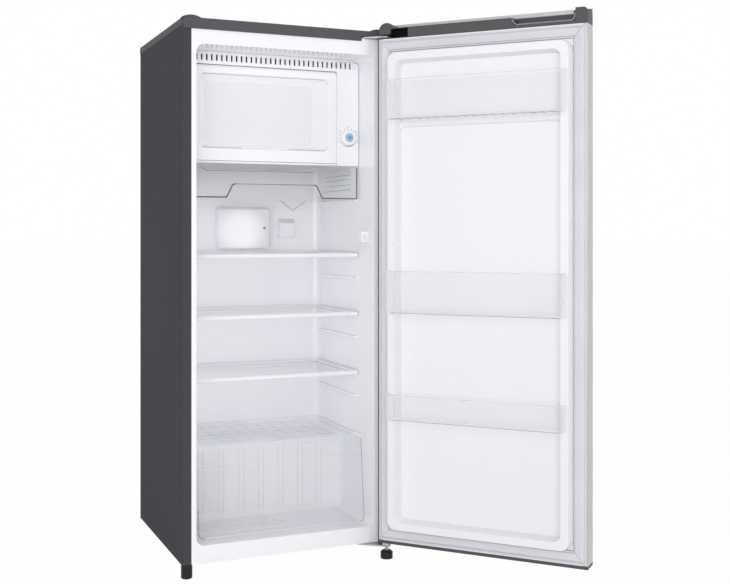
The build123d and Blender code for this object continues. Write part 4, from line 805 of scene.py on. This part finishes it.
class AddDoorDetails(bpy.types.Operator):
    """Add the hem of the front sheet, the rim of the grip with its painted highlight and the rail
    below the upper bin
    """
    bl_idname = "refrigerator.add_door_details"
    bl_label = "Door Details"

    def hem(self, shades, low, high):
        """Fold along the top of the front sheet."""
        back, proud = low.y + 7.4 * MM, 0.9 * MM
        section = ((back, high.z - 11 * MM), (back + proud, high.z - 10 * MM),
                   (back + proud, high.z - 1 * MM), (back, high.z - 0.2 * MM))
        ends = low.x + 45 * MM, high.x - 20 * MM
        mesh = lofted([[[(x, *point) for point in section] for x in ends]],
                      silver_paint("hem_silver", shades.door))
        door_piece("front_sheet_hem", mesh, "door")

    def grip(self, shades, low, high, inner):
        """Rim of the grip pocket in the top cap, in a lighter grey that paints the highlight on its
        lip.
        """
        left, right = low.x + 30 * MM, low.x + 180 * MM
        floor, top = high.z - 33 * MM, high.z - 17 * MM
        rim = ((right + 3 * MM, top), (right - 3 * MM, floor + 4 * MM), (right - 9 * MM, floor),
               (left + 12 * MM, floor), (left + 6 * MM, floor + 1.6 * MM),
               (left + 2.4 * MM, floor + 5 * MM), (left + 1 * MM, floor + 10 * MM),
               (left + 1 * MM, top))
        grain = grained_plastic("grip_rim_grain", shades.grip, roughness=0.4)
        mesh = bead_mesh([[(x, inner, z) for x, z in rim]], 1.5 * MM, grain)
        door_piece("grip_rim", mesh, "door")

    def rail(self, shades, inner):
        """Raised band of the lining, with rounded lower corners and a rolled lower edge."""
        low, high = shut_box("door_liner")
        level = shut_box("upper_door_bin")[0].z
        margin, fillet, depth = 46 * MM, 16 * MM, 7 * MM
        left, right = low.x + margin, high.x - margin
        top, foot, back = level - 1.6 * MM, level - 15 * MM, inner - 0.2 * MM
        lower = [(left + fillet * (1 - math.cos(angle)), foot - fillet * (1 - math.sin(angle)))
                 for angle in angles(0, 90, 8)]
        lower += [(left + right - x, z) for x, z in reversed(lower)]
        rings = []
        for angle in angles(0, 90, 6):
            y, lift = back + depth * math.sin(angle), depth * (1 - math.cos(angle))
            edge = [(x, y, min(z + lift, top)) for x, z in lower]
            rings.append([(left, y, top), *edge, (right, y, top)])
        mesh = lofted([rings], glossy_moulding("rail_gloss", shades.lining), smooth=True)
        door_piece("bin_rail", mesh, "door")

    def execute(self, context):
        shades = context.scene.refrigerator_colours
        low, high = shut_box("door_skin")
        inner = shut_box("hinge_pocket_insert")[1].y
        self.hem(shades, low, high)
        self.grip(shades, low, high, inner)
        self.rail(shades, inner)
        return {"FINISHED"}


class AddScrews(bpy.types.Operator):
    """Set cross-slotted screw heads in the hinge brackets and the lamp cover"""
    bl_idname = "refrigerator.add_screws"
    bl_label = "Screws"

    def head(self, radius, height, slot, steel):
        """Domed head with a cross slot, on its own axis."""
        dome = ((1.0, 0.0), (1.0, 0.35), (0.92, 0.7), (0.7, 0.92), (0.42, 1.0))
        turns = angles(0, 360, 24)[:-1]
        rings = [[(radius * across * math.cos(turn), radius * across * math.sin(turn), height * up)
                  for turn in turns] for across, up in dome]
        holder = held("screw_head", lofted([rings], steel))
        arm, cutters = 1.25 * radius, []
        for width, depth in ((arm, slot), (slot, arm)):
            box = [[(x * width, y * depth, z * height) for x, y in
                    ((-0.5, -0.5), (0.5, -0.5), (0.5, 0.5), (-0.5, 0.5))] for z in (0.45, 1.55)]
            cutters.append(held("cross_slot", lofted([box], steel)))
            cut = holder.modifiers.new("Cross slot", "BOOLEAN")
            cut.operation = "DIFFERENCE"
            cut.solver = "EXACT"
            cut.object = cutters[-1]
        mesh = realised(holder)
        for cutter in cutters:
            bpy.data.objects.remove(cutter)
        return held("screw_head", mesh)

    def execute(self, context):
        shades, sizes = choices(context)
        low, high = corners("hinge_screws")
        radius, height = sizes.screw_radius, 2.5 * MM
        steel = bare_metal("screw_zinc", shades.zinc, 0.32, tarnish=tone(140, 140, 134))
        head = self.head(radius, height, sizes.screw_slot, steel)
        screws = {"Head": head, "Material": steel}
        tree = screw_tree()
        level = (low.y + high.y) / 2
        places = [(low.x + radius, level, 0), (high.x - radius, level, 0)]
        upper = grown(tree, {**screws, "Place": (0, 0, high.z - height)}, places)
        lower = grown(tree, {
            **screws, "Place": (0, 2 * level, low.z + height), "Tilt": FACING_DOWN}, places)
        piece = new_piece("hinge_screw_heads", joined([upper, lower]), "cabinet")
        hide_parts("hinge_screws")
        low, high = corners("lamp_cover")
        place = (high.x - 20 * MM, low.y + 0.4 * MM, (low.z + high.z) / 2)
        lamp = grown(tree, {**screws, "Place": place, "Tilt": FACING_FRONT}, [(0, 0, 0)])
        new_piece("lamp_cover_screw", lamp, "cabinet")
        bpy.data.objects.remove(head)
        return {"FINISHED"}


class AddDialMarks(bpy.types.Operator):
    """Print ticks, numbers and a swelling arc round the dial, and set a spot in its button"""
    bl_idname = "refrigerator.add_dial_marks"
    bl_label = "Dial Marks"

    def arc(self, radius, width, depth, ink):
        """Arc below the knob that swells towards its right end, lying flat on the origin."""
        steps = 40
        rings = []
        for step, angle in enumerate(angles(205, 330, steps)):
            share = step / steps
            swell = 0.15 + 0.85 * math.sin(math.pi * min(1, share * 1.05)) ** 0.7 * share
            outer = radius + width * swell
            section = ((radius, -depth), (radius, depth), (outer, depth), (outer, -depth))
            rings.append([(reach * math.cos(angle), reach * math.sin(angle), level)
                          for reach, level in section])
        return lofted([rings], ink)

    def figure(self, text, height, depth, ink):
        """Plain number, lying flat on the origin."""
        curve = bpy.data.curves.new("dial_figure", "FONT")
        curve.body = text
        curve.size = height
        curve.align_x = "CENTER"
        curve.align_y = "CENTER"
        curve.extrude = depth
        return painted(realised(held("dial_figure", curve)), ink)

    def execute(self, context):
        shades, sizes = choices(context)
        low, high = corners("thermostat_knob")
        centre = (low + high) / 2
        centre.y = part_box("freezer_front_frame")[0][1]
        radius, depth = (high.x - low.x) / 2, sizes.print_depth
        ring = radius + sizes.tick_gap
        ink = ink_and_shadow_line("dial_ink", shades.mark)
        upright = Matrix.Translation(centre) @ FACING_FRONT.to_matrix().to_4x4()
        ticks = grown(arc_tree(), {
            "Count": sizes.tick_count, "Radius": ring, "Start": math.radians(-30),
            "Sweep": math.radians(240), "Bar": (sizes.tick_width, sizes.tick_length, 2 * depth),
            "Draft": 0.9, "Place": tuple(centre), "Tilt": FACING_FRONT, "Material": ink})
        arc = self.arc(ring - sizes.arc_width, sizes.arc_width, depth, ink)
        arc.transform(upright)
        marks = [ticks, arc]
        reach = radius + sizes.figure_gap
        for text, angle in zip("12345", angles(200, -20, 4)):
            mesh = self.figure(text, sizes.figure_height, depth, ink)
            place = (reach * math.cos(angle), reach * math.sin(angle), 0)
            mesh.transform(upright @ Matrix.Translation(place))
            marks.append(mesh)
        new_piece("dial_marks", joined(marks), "cabinet")
        low, high = corners("defrost_button")
        run = [(centre.x, low.y + 0.5 * MM, centre.z), (centre.x, low.y - 0.25 * MM, centre.z)]
        blue = glossy_moulding("spot_blue", shades.spot, roughness=0.35)
        spot = bead_mesh([run], 0.22 * (high.x - low.x), blue)
        new_piece("button_spot", spot, "button")
        return {"FINISHED"}


class AddFlapPanel(bpy.types.Operator):
    """Form the freezer flap's sloping border and its sunk panel, whose darker white is painted
    shade of the recess
    """
    bl_idname = "refrigerator.add_flap_panel"
    bl_label = "Flap Panel"

    def ring(self, left, right, bottom, top, corner, level):
        """Rounded rectangle seen from the front, at a depth."""
        left, right, bottom, top = left + corner, right - corner, bottom + corner, top - corner
        centres = ((right, top, 0), (left, top, 90), (left, bottom, 180), (right, bottom, 270))
        return [(x + corner * math.cos(angle), level, z + corner * math.sin(angle))
                for x, z, start in centres for angle in angles(start, start + 90, 8)]

    def execute(self, context):
        shades, sizes = choices(context)
        low, high = corners("freezer_flap")
        rim, floor = low.y + 3 * MM, low.y + sizes.panel_depth
        border, steps = 23.5 * MM, 8
        outer = (low.x + border, high.x - border, low.z + border + 9 * MM, high.z - border, 22 * MM)
        inner = (low.x + 42 * MM, high.x - 76 * MM, low.z + 44 * MM, high.z - 42 * MM, 14 * MM)
        slope = [self.ring(*outer, floor + 0.3 * MM), self.ring(*outer, rim)]
        for step in range(1, steps + 1):
            share = step / steps
            depth = math.sin(share * math.pi / 2) * (floor - rim)
            outline = (a + share * (b - a) for a, b in zip(outer, inner))
            slope.append(self.ring(*outline, rim + depth))
        sunk = [self.ring(*inner, floor + 0.2 * MM)]
        left, right, bottom, top, corner = inner
        for inset, proud in ((0, 0.4 * MM), (0.6 * MM, 0.9 * MM), (2.4 * MM, 1.2 * MM)):
            sunk.append(self.ring(left + inset, right - inset, bottom + inset, top - inset,
                                  corner - inset, floor - proud))
        # The sunk panel's darker white is painted shade of the recess.
        for name, rings, shade in (
                ("flap_slope", slope, shades.lining), ("flap_panel", sunk, shades.panel)):
            mesh = lofted([rings], glossy_moulding(name, shade), smooth=True)
            even_shading(new_piece(name, mesh, "flap"))
        return {"FINISHED"}


class AddFrameSeam(bpy.types.Operator):
    """Draw a dark line of painted shadow in the fine seam between the freezer's frame and the
    lining
    """
    bl_idname = "refrigerator.add_frame_seam"
    bl_label = "Frame Seam"

    def execute(self, context):
        shades, sizes = choices(context)
        low, high = corners("freezer_front_frame")
        line, corner = sizes.line_radius, 11 * MM
        x, y, z = high.x - line, low.y + 0.3 * MM, high.z - 5.5 * MM
        bend = [(x - corner * (1 - math.cos(angle)), y, z - corner * (1 - math.sin(angle)))
                for angle in angles(90, 0, 6)]
        seam = [(x - 62 * MM, y, z), *bend, (x, y, low.z + line)]
        column = x - 63 * MM
        flank = [(column, y, z - 30 * MM), (column, y, low.z + line)]
        # Painted shadow along the seam's top, down its right side and down the column's flank.
        mesh = bead_mesh([seam, flank], line, ink_and_shadow_line("seam_shadow", shades.mark))
        new_piece("frame_seam", mesh, "cabinet")
        return {"FINISHED"}


class AddTrayEdge(bpy.types.Operator):
    """Lay the dark edge lines and the grey ridge lines of the chill tray, both painted shade"""
    bl_idname = "refrigerator.add_tray_edge"
    bl_label = "Chill Tray Lines"

    def edge(self, low, high, y, bottom, radius, material):
        """Heavy dark line of painted shade along the front's lower edge and notch, and a fine one
        over the notch.
        """
        middle, top = (low.x + high.x) / 2, high.z - 49 * MM
        foot, crest, ease = 128 * MM, 112 * MM, 7 * MM
        bend = [(foot, bottom), (crest + 3 * MM, top - ease), (crest + 0.5 * MM, top - ease * 0.3),
                (crest - ease, top)]
        left = [(low.x + radius, y, bottom), *((middle - out, y, z) for out, z in bend)]
        right = [*((middle + out, y, z) for out, z in reversed(bend)),
                 (high.x - radius, y, bottom), (high.x - radius, y, high.z - radius)]
        heavy = bead_mesh([left, right], radius * 1.6, material)
        return joined([heavy, bead_mesh([[left[-1], right[0]]], radius * 0.6, material)])

    def ridges(self, low, high, y, bottom, radius, material):
        """Grey lines of painted shade for the ridge inside the front, the steps in the right side
        and the spout at the back.
        """
        runs = [[(low.x + 34 * MM, y, high.z - 7 * MM), (low.x + 40 * MM, y, high.z - 13 * MM),
                 (low.x + 50 * MM, y, high.z - 16 * MM), (high.x - 120 * MM, y, high.z - 16 * MM)]]
        side, start, end = high.x - 3 * MM, low.y + 40 * MM, high.y - 60 * MM
        for drop in (18, 30, 44, 58):
            level = high.z - drop * MM
            runs.append([(side, start, level), (side, end, level)])
        spout, mouth, drop = (low.x + high.x) / 2 + 143 * MM, 37 * MM, 27 * MM
        back = high.y - 14.4 * MM
        runs.append([(spout - mouth, back, bottom), (spout, back, bottom - drop),
                     (spout + mouth, back, bottom)])
        return bead_mesh(runs, radius, material)

    def execute(self, context):
        shades, sizes = choices(context)
        low, high = corners("chill_tray")
        clearance = 1.4 * sizes.bead_radius
        y, bottom = low.y + clearance, high.z - 84 * MM + clearance
        dark = clear_plastic("tray_edge_line", shades.edge, alpha=1.0, roughness=0.2)
        mesh = self.edge(low, high, y, bottom, sizes.bead_radius, dark)
        new_piece("chill_tray_edge", mesh, "tray")
        soft = clear_plastic("tray_ridge_line", shades.shade_line, alpha=0.6, roughness=0.2)
        mesh = self.ridges(low, high, y + 6 * MM, bottom, sizes.line_radius * 1.4, soft)
        new_piece("chill_tray_ridges", mesh, "tray")
        return {"FINISHED"}


class AddBinDetails(bpy.types.Operator):
    """Give the door bins bright edges and end posts that paint the light their clear edges gather,
    a line of painted shade and floor ribs
    """
    bl_idname = "refrigerator.add_bin_details"
    bl_label = "Door Bin Details"

    def execute(self, context):
        shades, sizes = choices(context)
        radius, rib = sizes.bead_radius, sizes.rib_height
        corner, post = 9 * MM, 12 * MM
        bright = bright_edge("bin_bright_edge", shades.bright, alpha=0.8)
        clear = bright_edge("bin_rim", shades.clear, alpha=0.3)
        # Grey ribs paint the shadows on the upper bin's floor.
        grey = bright_edge("bin_ribs", shades.shade_line, alpha=0.18)
        dark = clear_plastic("bin_fine_line", shades.shade_line, alpha=0.7, roughness=0.2)
        tree = grid_tree()
        for name in ("upper", "middle", "lower"):
            low, high = shut_box(name + "_door_bin")
            left, right, front = low.x + radius, high.x - radius, high.y - radius
            foot, top, step = low.z + 5 * MM, high.z - radius, high.y - 26 * MM
            edges = [[(x, front - 2.4 * MM, foot) for x in (left + corner, right - corner)]]
            for end, inner in ((left, left + post), (right, right - post)):
                edges.append([(end, front - corner, foot), (end, front - corner, top)])
                edges.append([(inner, step, foot), (inner, step, top - 2 * MM)])
            line = [(x, front - 2 * MM, low.z + 1.2 * MM) for x in (left + corner, right - corner)]
            half = [(0, step + 2 * MM), (0, front - corner), (0.3 * corner, front - 0.3 * corner),
                    (corner, front)]
            rim = [(left + inset, y, top) for inset, y in half]
            rim += [(right - inset, y, top) for inset, y in reversed(half)]
            place = ((low.x + high.x) / 2, low.y + 34 * MM, low.z + 2.2 * MM + rib / 2)
            # Floor ribs: grey, painted shadow, on the upper bin; bright, painted highlight, on the
            # others.
            finish = grey if name == "upper" else bright
            ribs = rows(tree, (sizes.bin_ribs, 2), (high.x - low.x - 60 * MM, 24 * MM),
                        (14 * MM, sizes.rib_width, rib), 0.6, place, finish)
            body = name + "_bin"
            for label, mesh in (
                    ("edges", bead_mesh(edges, radius * 1.8, bright)),
                    ("line", bead_mesh([line], sizes.line_radius, dark)),
                    ("rim", bead_mesh([rim], radius, clear)), ("ribs", ribs)):
                door_piece(body + "_" + label, mesh, body)
        return {"FINISHED"}


class AddCrisperDetails(bpy.types.Operator):
    """Give the crisper and its cover their painted shade lines, bright edges, ribs and bosses"""
    bl_idname = "refrigerator.add_crisper_details"
    bl_label = "Crisper Details"

    def drawer(self, shades, sizes, tree):
        """Dark lines and grey flute lines of painted shade, bright edges that paint a highlight,
        and floor ribs of the drawer.
        """
        low, high = corners("crisper_drawer")
        size, line, rib = high - low, sizes.line_radius, sizes.rib_height
        foot, band = high.z - 208.7 * MM, high.z - 36 * MM
        slope = 24 * MM / (high.z - foot)

        def on_front(x, rise):
            z = foot + rise
            return (x, low.y + slope * rise + 1.2 * MM, z)

        def level(margin, rise, back):
            return [Vector(on_front(x, rise)) + Vector((0, back, 0))
                    for x in (low.x + margin, high.x - margin)]

        right = [on_front(high.x - line, high.z - foot), on_front(high.x - line, 14 * MM),
                 on_front(high.x - 4 * MM, 4 * MM), on_front(high.x - 14 * MM, 0)]
        left = [on_front(low.x + line, 70 * MM), on_front(low.x + line, 12 * MM),
                on_front(low.x + 4 * MM, 3 * MM), on_front(low.x + 16 * MM, 0)]
        right[0] = (*right[0][:2], high.z - line)
        for run in (left, right):
            run[-1] = (*run[-1][:2], foot + line)
        dark = clear_plastic("crisper_dark_line", shades.edge, alpha=0.8, roughness=0.2)
        bright = bright_edge("crisper_bright_edge", shades.bright, alpha=0.8)
        lower = [point + Vector((0, 0, 2 * MM)) for point in level(14 * MM, 0, 2 * MM)]
        runs = [lower, level(3 * MM, band - foot, -line)]
        flutes, count, back = [], 8, high.y - 5.4 * MM
        for flute in range(1, count):
            for side in (-7 * MM, 7 * MM):
                x = low.x + size.x * flute / count + side
                flutes.append([(x, back, foot + 12 * MM), (x, back, band)])
        soft = clear_plastic("crisper_flute_line", shades.shade_line, alpha=0.15, roughness=0.2)
        ribs = []
        for row, turn in enumerate((-38, 38, -38, 38)):
            place = (low.x + 0.3 * size.x, low.y + size.y * (0.2 + 0.18 * row),
                     foot + 2.4 * MM + rib / 2)
            ribs.append(rows(tree, (sizes.crisper_ribs, 1), (0.5 * size.x, 0),
                             (0.22 * size.y, sizes.rib_width, rib), 0.6, place, bright,
                             math.radians(turn)))
        for name, mesh in (
                ("crisper_lines", bead_mesh([right, left], line, dark)),
                ("crisper_edges", bead_mesh(runs, sizes.bead_radius, bright)),
                ("crisper_flutes", bead_mesh(flutes, line, soft)),
                ("crisper_floor_ribs", joined(ribs))):
            new_piece(name, mesh, "crisper")

    def cover(self, shades, sizes, tree):
        """Front edge, ribs and bosses of the cover, in the bright finish that paints the light a
        clear edge gathers.
        """
        low, high = corners("crisper_cover")
        middle, size = (low + high) / 2, high - low
        rib, width = sizes.rib_height, 0.6 * sizes.rib_width
        bright = bright_edge("cover_bright_edge", shades.bright, alpha=0.9)
        soft = bright_edge("cover_ribs", shades.bright, alpha=0.14)
        radius = sizes.bead_radius * 1.4
        edge = [(x, low.y + radius, high.z - radius) for x in (low.x + 3 * MM, high.x - 3 * MM)]
        under = (middle.x, middle.y, high.z - 4 * MM - rib / 2)
        along = rows(tree, (sizes.cover_ribs, 1), (size.x - 40 * MM, 0),
                     (width, size.y - 60 * MM, rib), 0.7, under, soft)
        across = rows(tree, (1, 4), (0, size.y - 90 * MM),
                      (size.x - 30 * MM, width, rib), 0.7, under, soft)
        pitch, columns = sizes.boss_pitch, sizes.boss_columns
        place = (low.x + 30 * MM + pitch * columns / 2, high.y - 26 * MM,
                 high.z + rib / 2 - 0.1 * MM)
        bosses = rows(tree, (columns, sizes.boss_rows), (pitch * (columns - 1), 13 * MM),
                      (9 * MM, 6 * MM, rib), 0.55, place, bright)
        for name, mesh in (
                ("cover_edge", bead_mesh([edge], radius, bright)),
                ("cover_ribs", joined([along, across])), ("cover_bosses", bosses)):
            new_piece(name, mesh, "crisper_lid")

    def execute(self, context):
        shades, sizes = choices(context)
        tree = grid_tree()
        self.drawer(shades, sizes, tree)
        self.cover(shades, sizes, tree)
        return {"FINISHED"}


class SetStage(bpy.types.Operator):
    """Set the floor, the lights, the white background and the camera"""
    bl_idname = "refrigerator.set_stage"
    bl_label = "Stage"

    def area_light(self, name, place, aim, size, watts):
        """Soft rectangular light aimed at a point."""
        lamp = bpy.data.lights.new(name + "_light", "AREA")
        lamp.shape = "RECTANGLE"
        lamp.size, lamp.size_y = size
        lamp.energy = watts
        holder = held(lamp.name, lamp)
        holder.location = place
        holder.rotation_euler = (Vector(aim) - Vector(place)).to_track_quat("-Z", "Y").to_euler()
        return holder

    def inside_lights(self, stage):
        """Soft lights into the food space from its front and across it, which are not seen."""
        low, high = corners("inner_liner")
        tray_low, tray_high = corners("chill_tray")
        bottom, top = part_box("crisper_drawer")[0][2] + 100 * MM, tray_high.z
        place = Vector(((low.x + high.x) / 2, tray_low.y + 2 * MM, (bottom + top) / 2))
        room = self.area_light("room", place, place + Vector((0, 1, 0)),
                               (0.8 * (high.x - low.x), 0.9 * (top - bottom)), stage.room_power)
        low, high = corners("shelf_frame_1")
        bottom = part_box("crisper_cover")[1][2] - 80 * MM
        place = Vector((low.x - 1 * MM, (low.y + high.y) / 2, (bottom + top) / 2))
        wall = self.area_light("wall", place, place + Vector((1, 0, 0)),
                               (0.8 * (high.y - low.y), 0.9 * (top - bottom)), stage.wall_power)
        for holder in (room, wall):
            holder.visible_camera = False
            holder.visible_glossy = False
            holder.visible_transmission = False

    def seen_white(self, tree, soft, white, share=1.0):
        """Mixes a white in for rays that see the background: from the camera, a mirror or glass."""
        path = add_node(tree, "ShaderNodeLightPath").outputs
        seen = path["Is Camera Ray"]
        for name in ("Is Glossy Ray", "Is Transmission Ray"):
            inputs = {0: seen, 1: path[name]}
            seen = add_node(tree, "ShaderNodeMath", inputs, operation="MAXIMUM").outputs[0]
        part = add_node(tree, "ShaderNodeMath", {0: seen, 1: share}, operation="MULTIPLY")
        mix = add_node(tree, "ShaderNodeMixShader", {
            0: part.outputs[0], 1: soft.outputs[0], 2: white.outputs[0]})
        return mix.outputs[0]

    def make_world(self, scene, ambient):
        """Even light from all round, seen as white."""
        scene.world = bpy.data.worlds.new("studio")
        scene.world.use_nodes = True
        tree = scene.world.node_tree
        soft = tree.nodes["Background"]
        white = add_node(tree, "ShaderNodeBackground")
        for background, strength in ((soft, ambient), (white, 1)):
            background.inputs["Color"].default_value = (1, 1, 1, 1)
            background.inputs["Strength"].default_value = strength
        feed(tree, tree.nodes["World Output"].inputs["Surface"], self.seen_white(tree, soft, white))

    def make_floor(self, shade):
        """Pale floor that fades into the white."""
        mesh = bpy.data.meshes.new("studio_floor")
        sides = ((-1, -1), (1, -1), (1, 1), (-1, 1))
        edge = [(x * FLOOR_REACH, y * FLOOR_REACH, 0) for x, y in sides]
        mesh.from_pydata(edge, [], [(0, 1, 2, 3)])
        finish = Finish("studio_floor", shade, 0.8)
        finish.mottle(finish.noise(3), 0.01)
        white = self.seen_white(
            finish.tree, finish.shader, finish.add("ShaderNodeEmission"), FLOOR_GLOW)
        feed(finish.tree, finish.tree.nodes["Material Output"].inputs["Surface"], white)
        mesh.materials.append(finish.material)
        held("studio_floor", mesh)

    def make_camera(self, scene, stage):
        """Camera with level sight lines, shifted to the picture's frame."""
        lens = bpy.data.cameras.new("camera")
        lens.lens = stage.camera_lens
        lens.sensor_width = 36
        lens.shift_y = stage.camera_shift
        scene.camera = held("camera", lens)
        scene.camera.location = stage.camera_place
        scene.camera.rotation_euler = (math.pi / 2, 0, stage.camera_heading)

    def execute(self, context):
        scene = context.scene
        stage = scene.refrigerator_stage
        scene.view_settings.view_transform = "Standard"
        scene.cycles.transparent_max_bounces = 32
        self.make_world(scene, stage.ambient)
        self.make_floor(scene.refrigerator_colours.floor)
        for name, place, aim, side in STUDIO_LIGHTS:
            self.area_light(name, place, aim, (side, side), getattr(stage, name + "_power"))
        self.inside_lights(stage)
        self.make_camera(scene, stage)
        return {"FINISHED"}


OPERATORS = (
    FinishCabinet, FinishLining, FinishClear, FinishDoor, FinishRear, AddSeal, AddDoorDetails,
    AddScrews, AddDialMarks, AddFlapPanel, AddFrameSeam, AddTrayEdge, AddBinDetails,
    AddCrisperDetails, SetStage)
GROUPS = {
    "refrigerator_colours": RefrigeratorColours,
    "refrigerator_sizes": RefrigeratorSizes,
    "refrigerator_stage": RefrigeratorStage,
}


class RefrigeratorPanel(bpy.types.Panel):
    """Lists the refrigerator's steps and settings"""
    bl_idname = "VIEW3D_PT_refrigerator"
    bl_label = "Refrigerator"
    bl_space_type = "VIEW_3D"
    bl_region_type = "UI"
    bl_category = "Refrigerator"

    def draw(self, context):
        for operator in OPERATORS:
            self.layout.operator(operator.bl_idname)
        for group in GROUPS:
            box = self.layout.box()
            settings = getattr(context.scene, group)
            for name in settings.__annotations__:
                box.prop(settings, name)


CLASSES = (*GROUPS.values(), *OPERATORS, RefrigeratorPanel)


def register():
    for item in CLASSES:
        bpy.utils.register_class(item)
    for name, group in GROUPS.items():
        setattr(bpy.types.Scene, name, PointerProperty(type=group))


def unregister():
    for name in GROUPS:
        delattr(bpy.types.Scene, name)
    for item in reversed(CLASSES):
        bpy.utils.unregister_class(item)


def main():
    register()
    for operator in OPERATORS:
        group, name = operator.bl_idname.split(".")
        getattr(getattr(bpy.ops, group), name)()


if __name__ == "__main__":
    main()
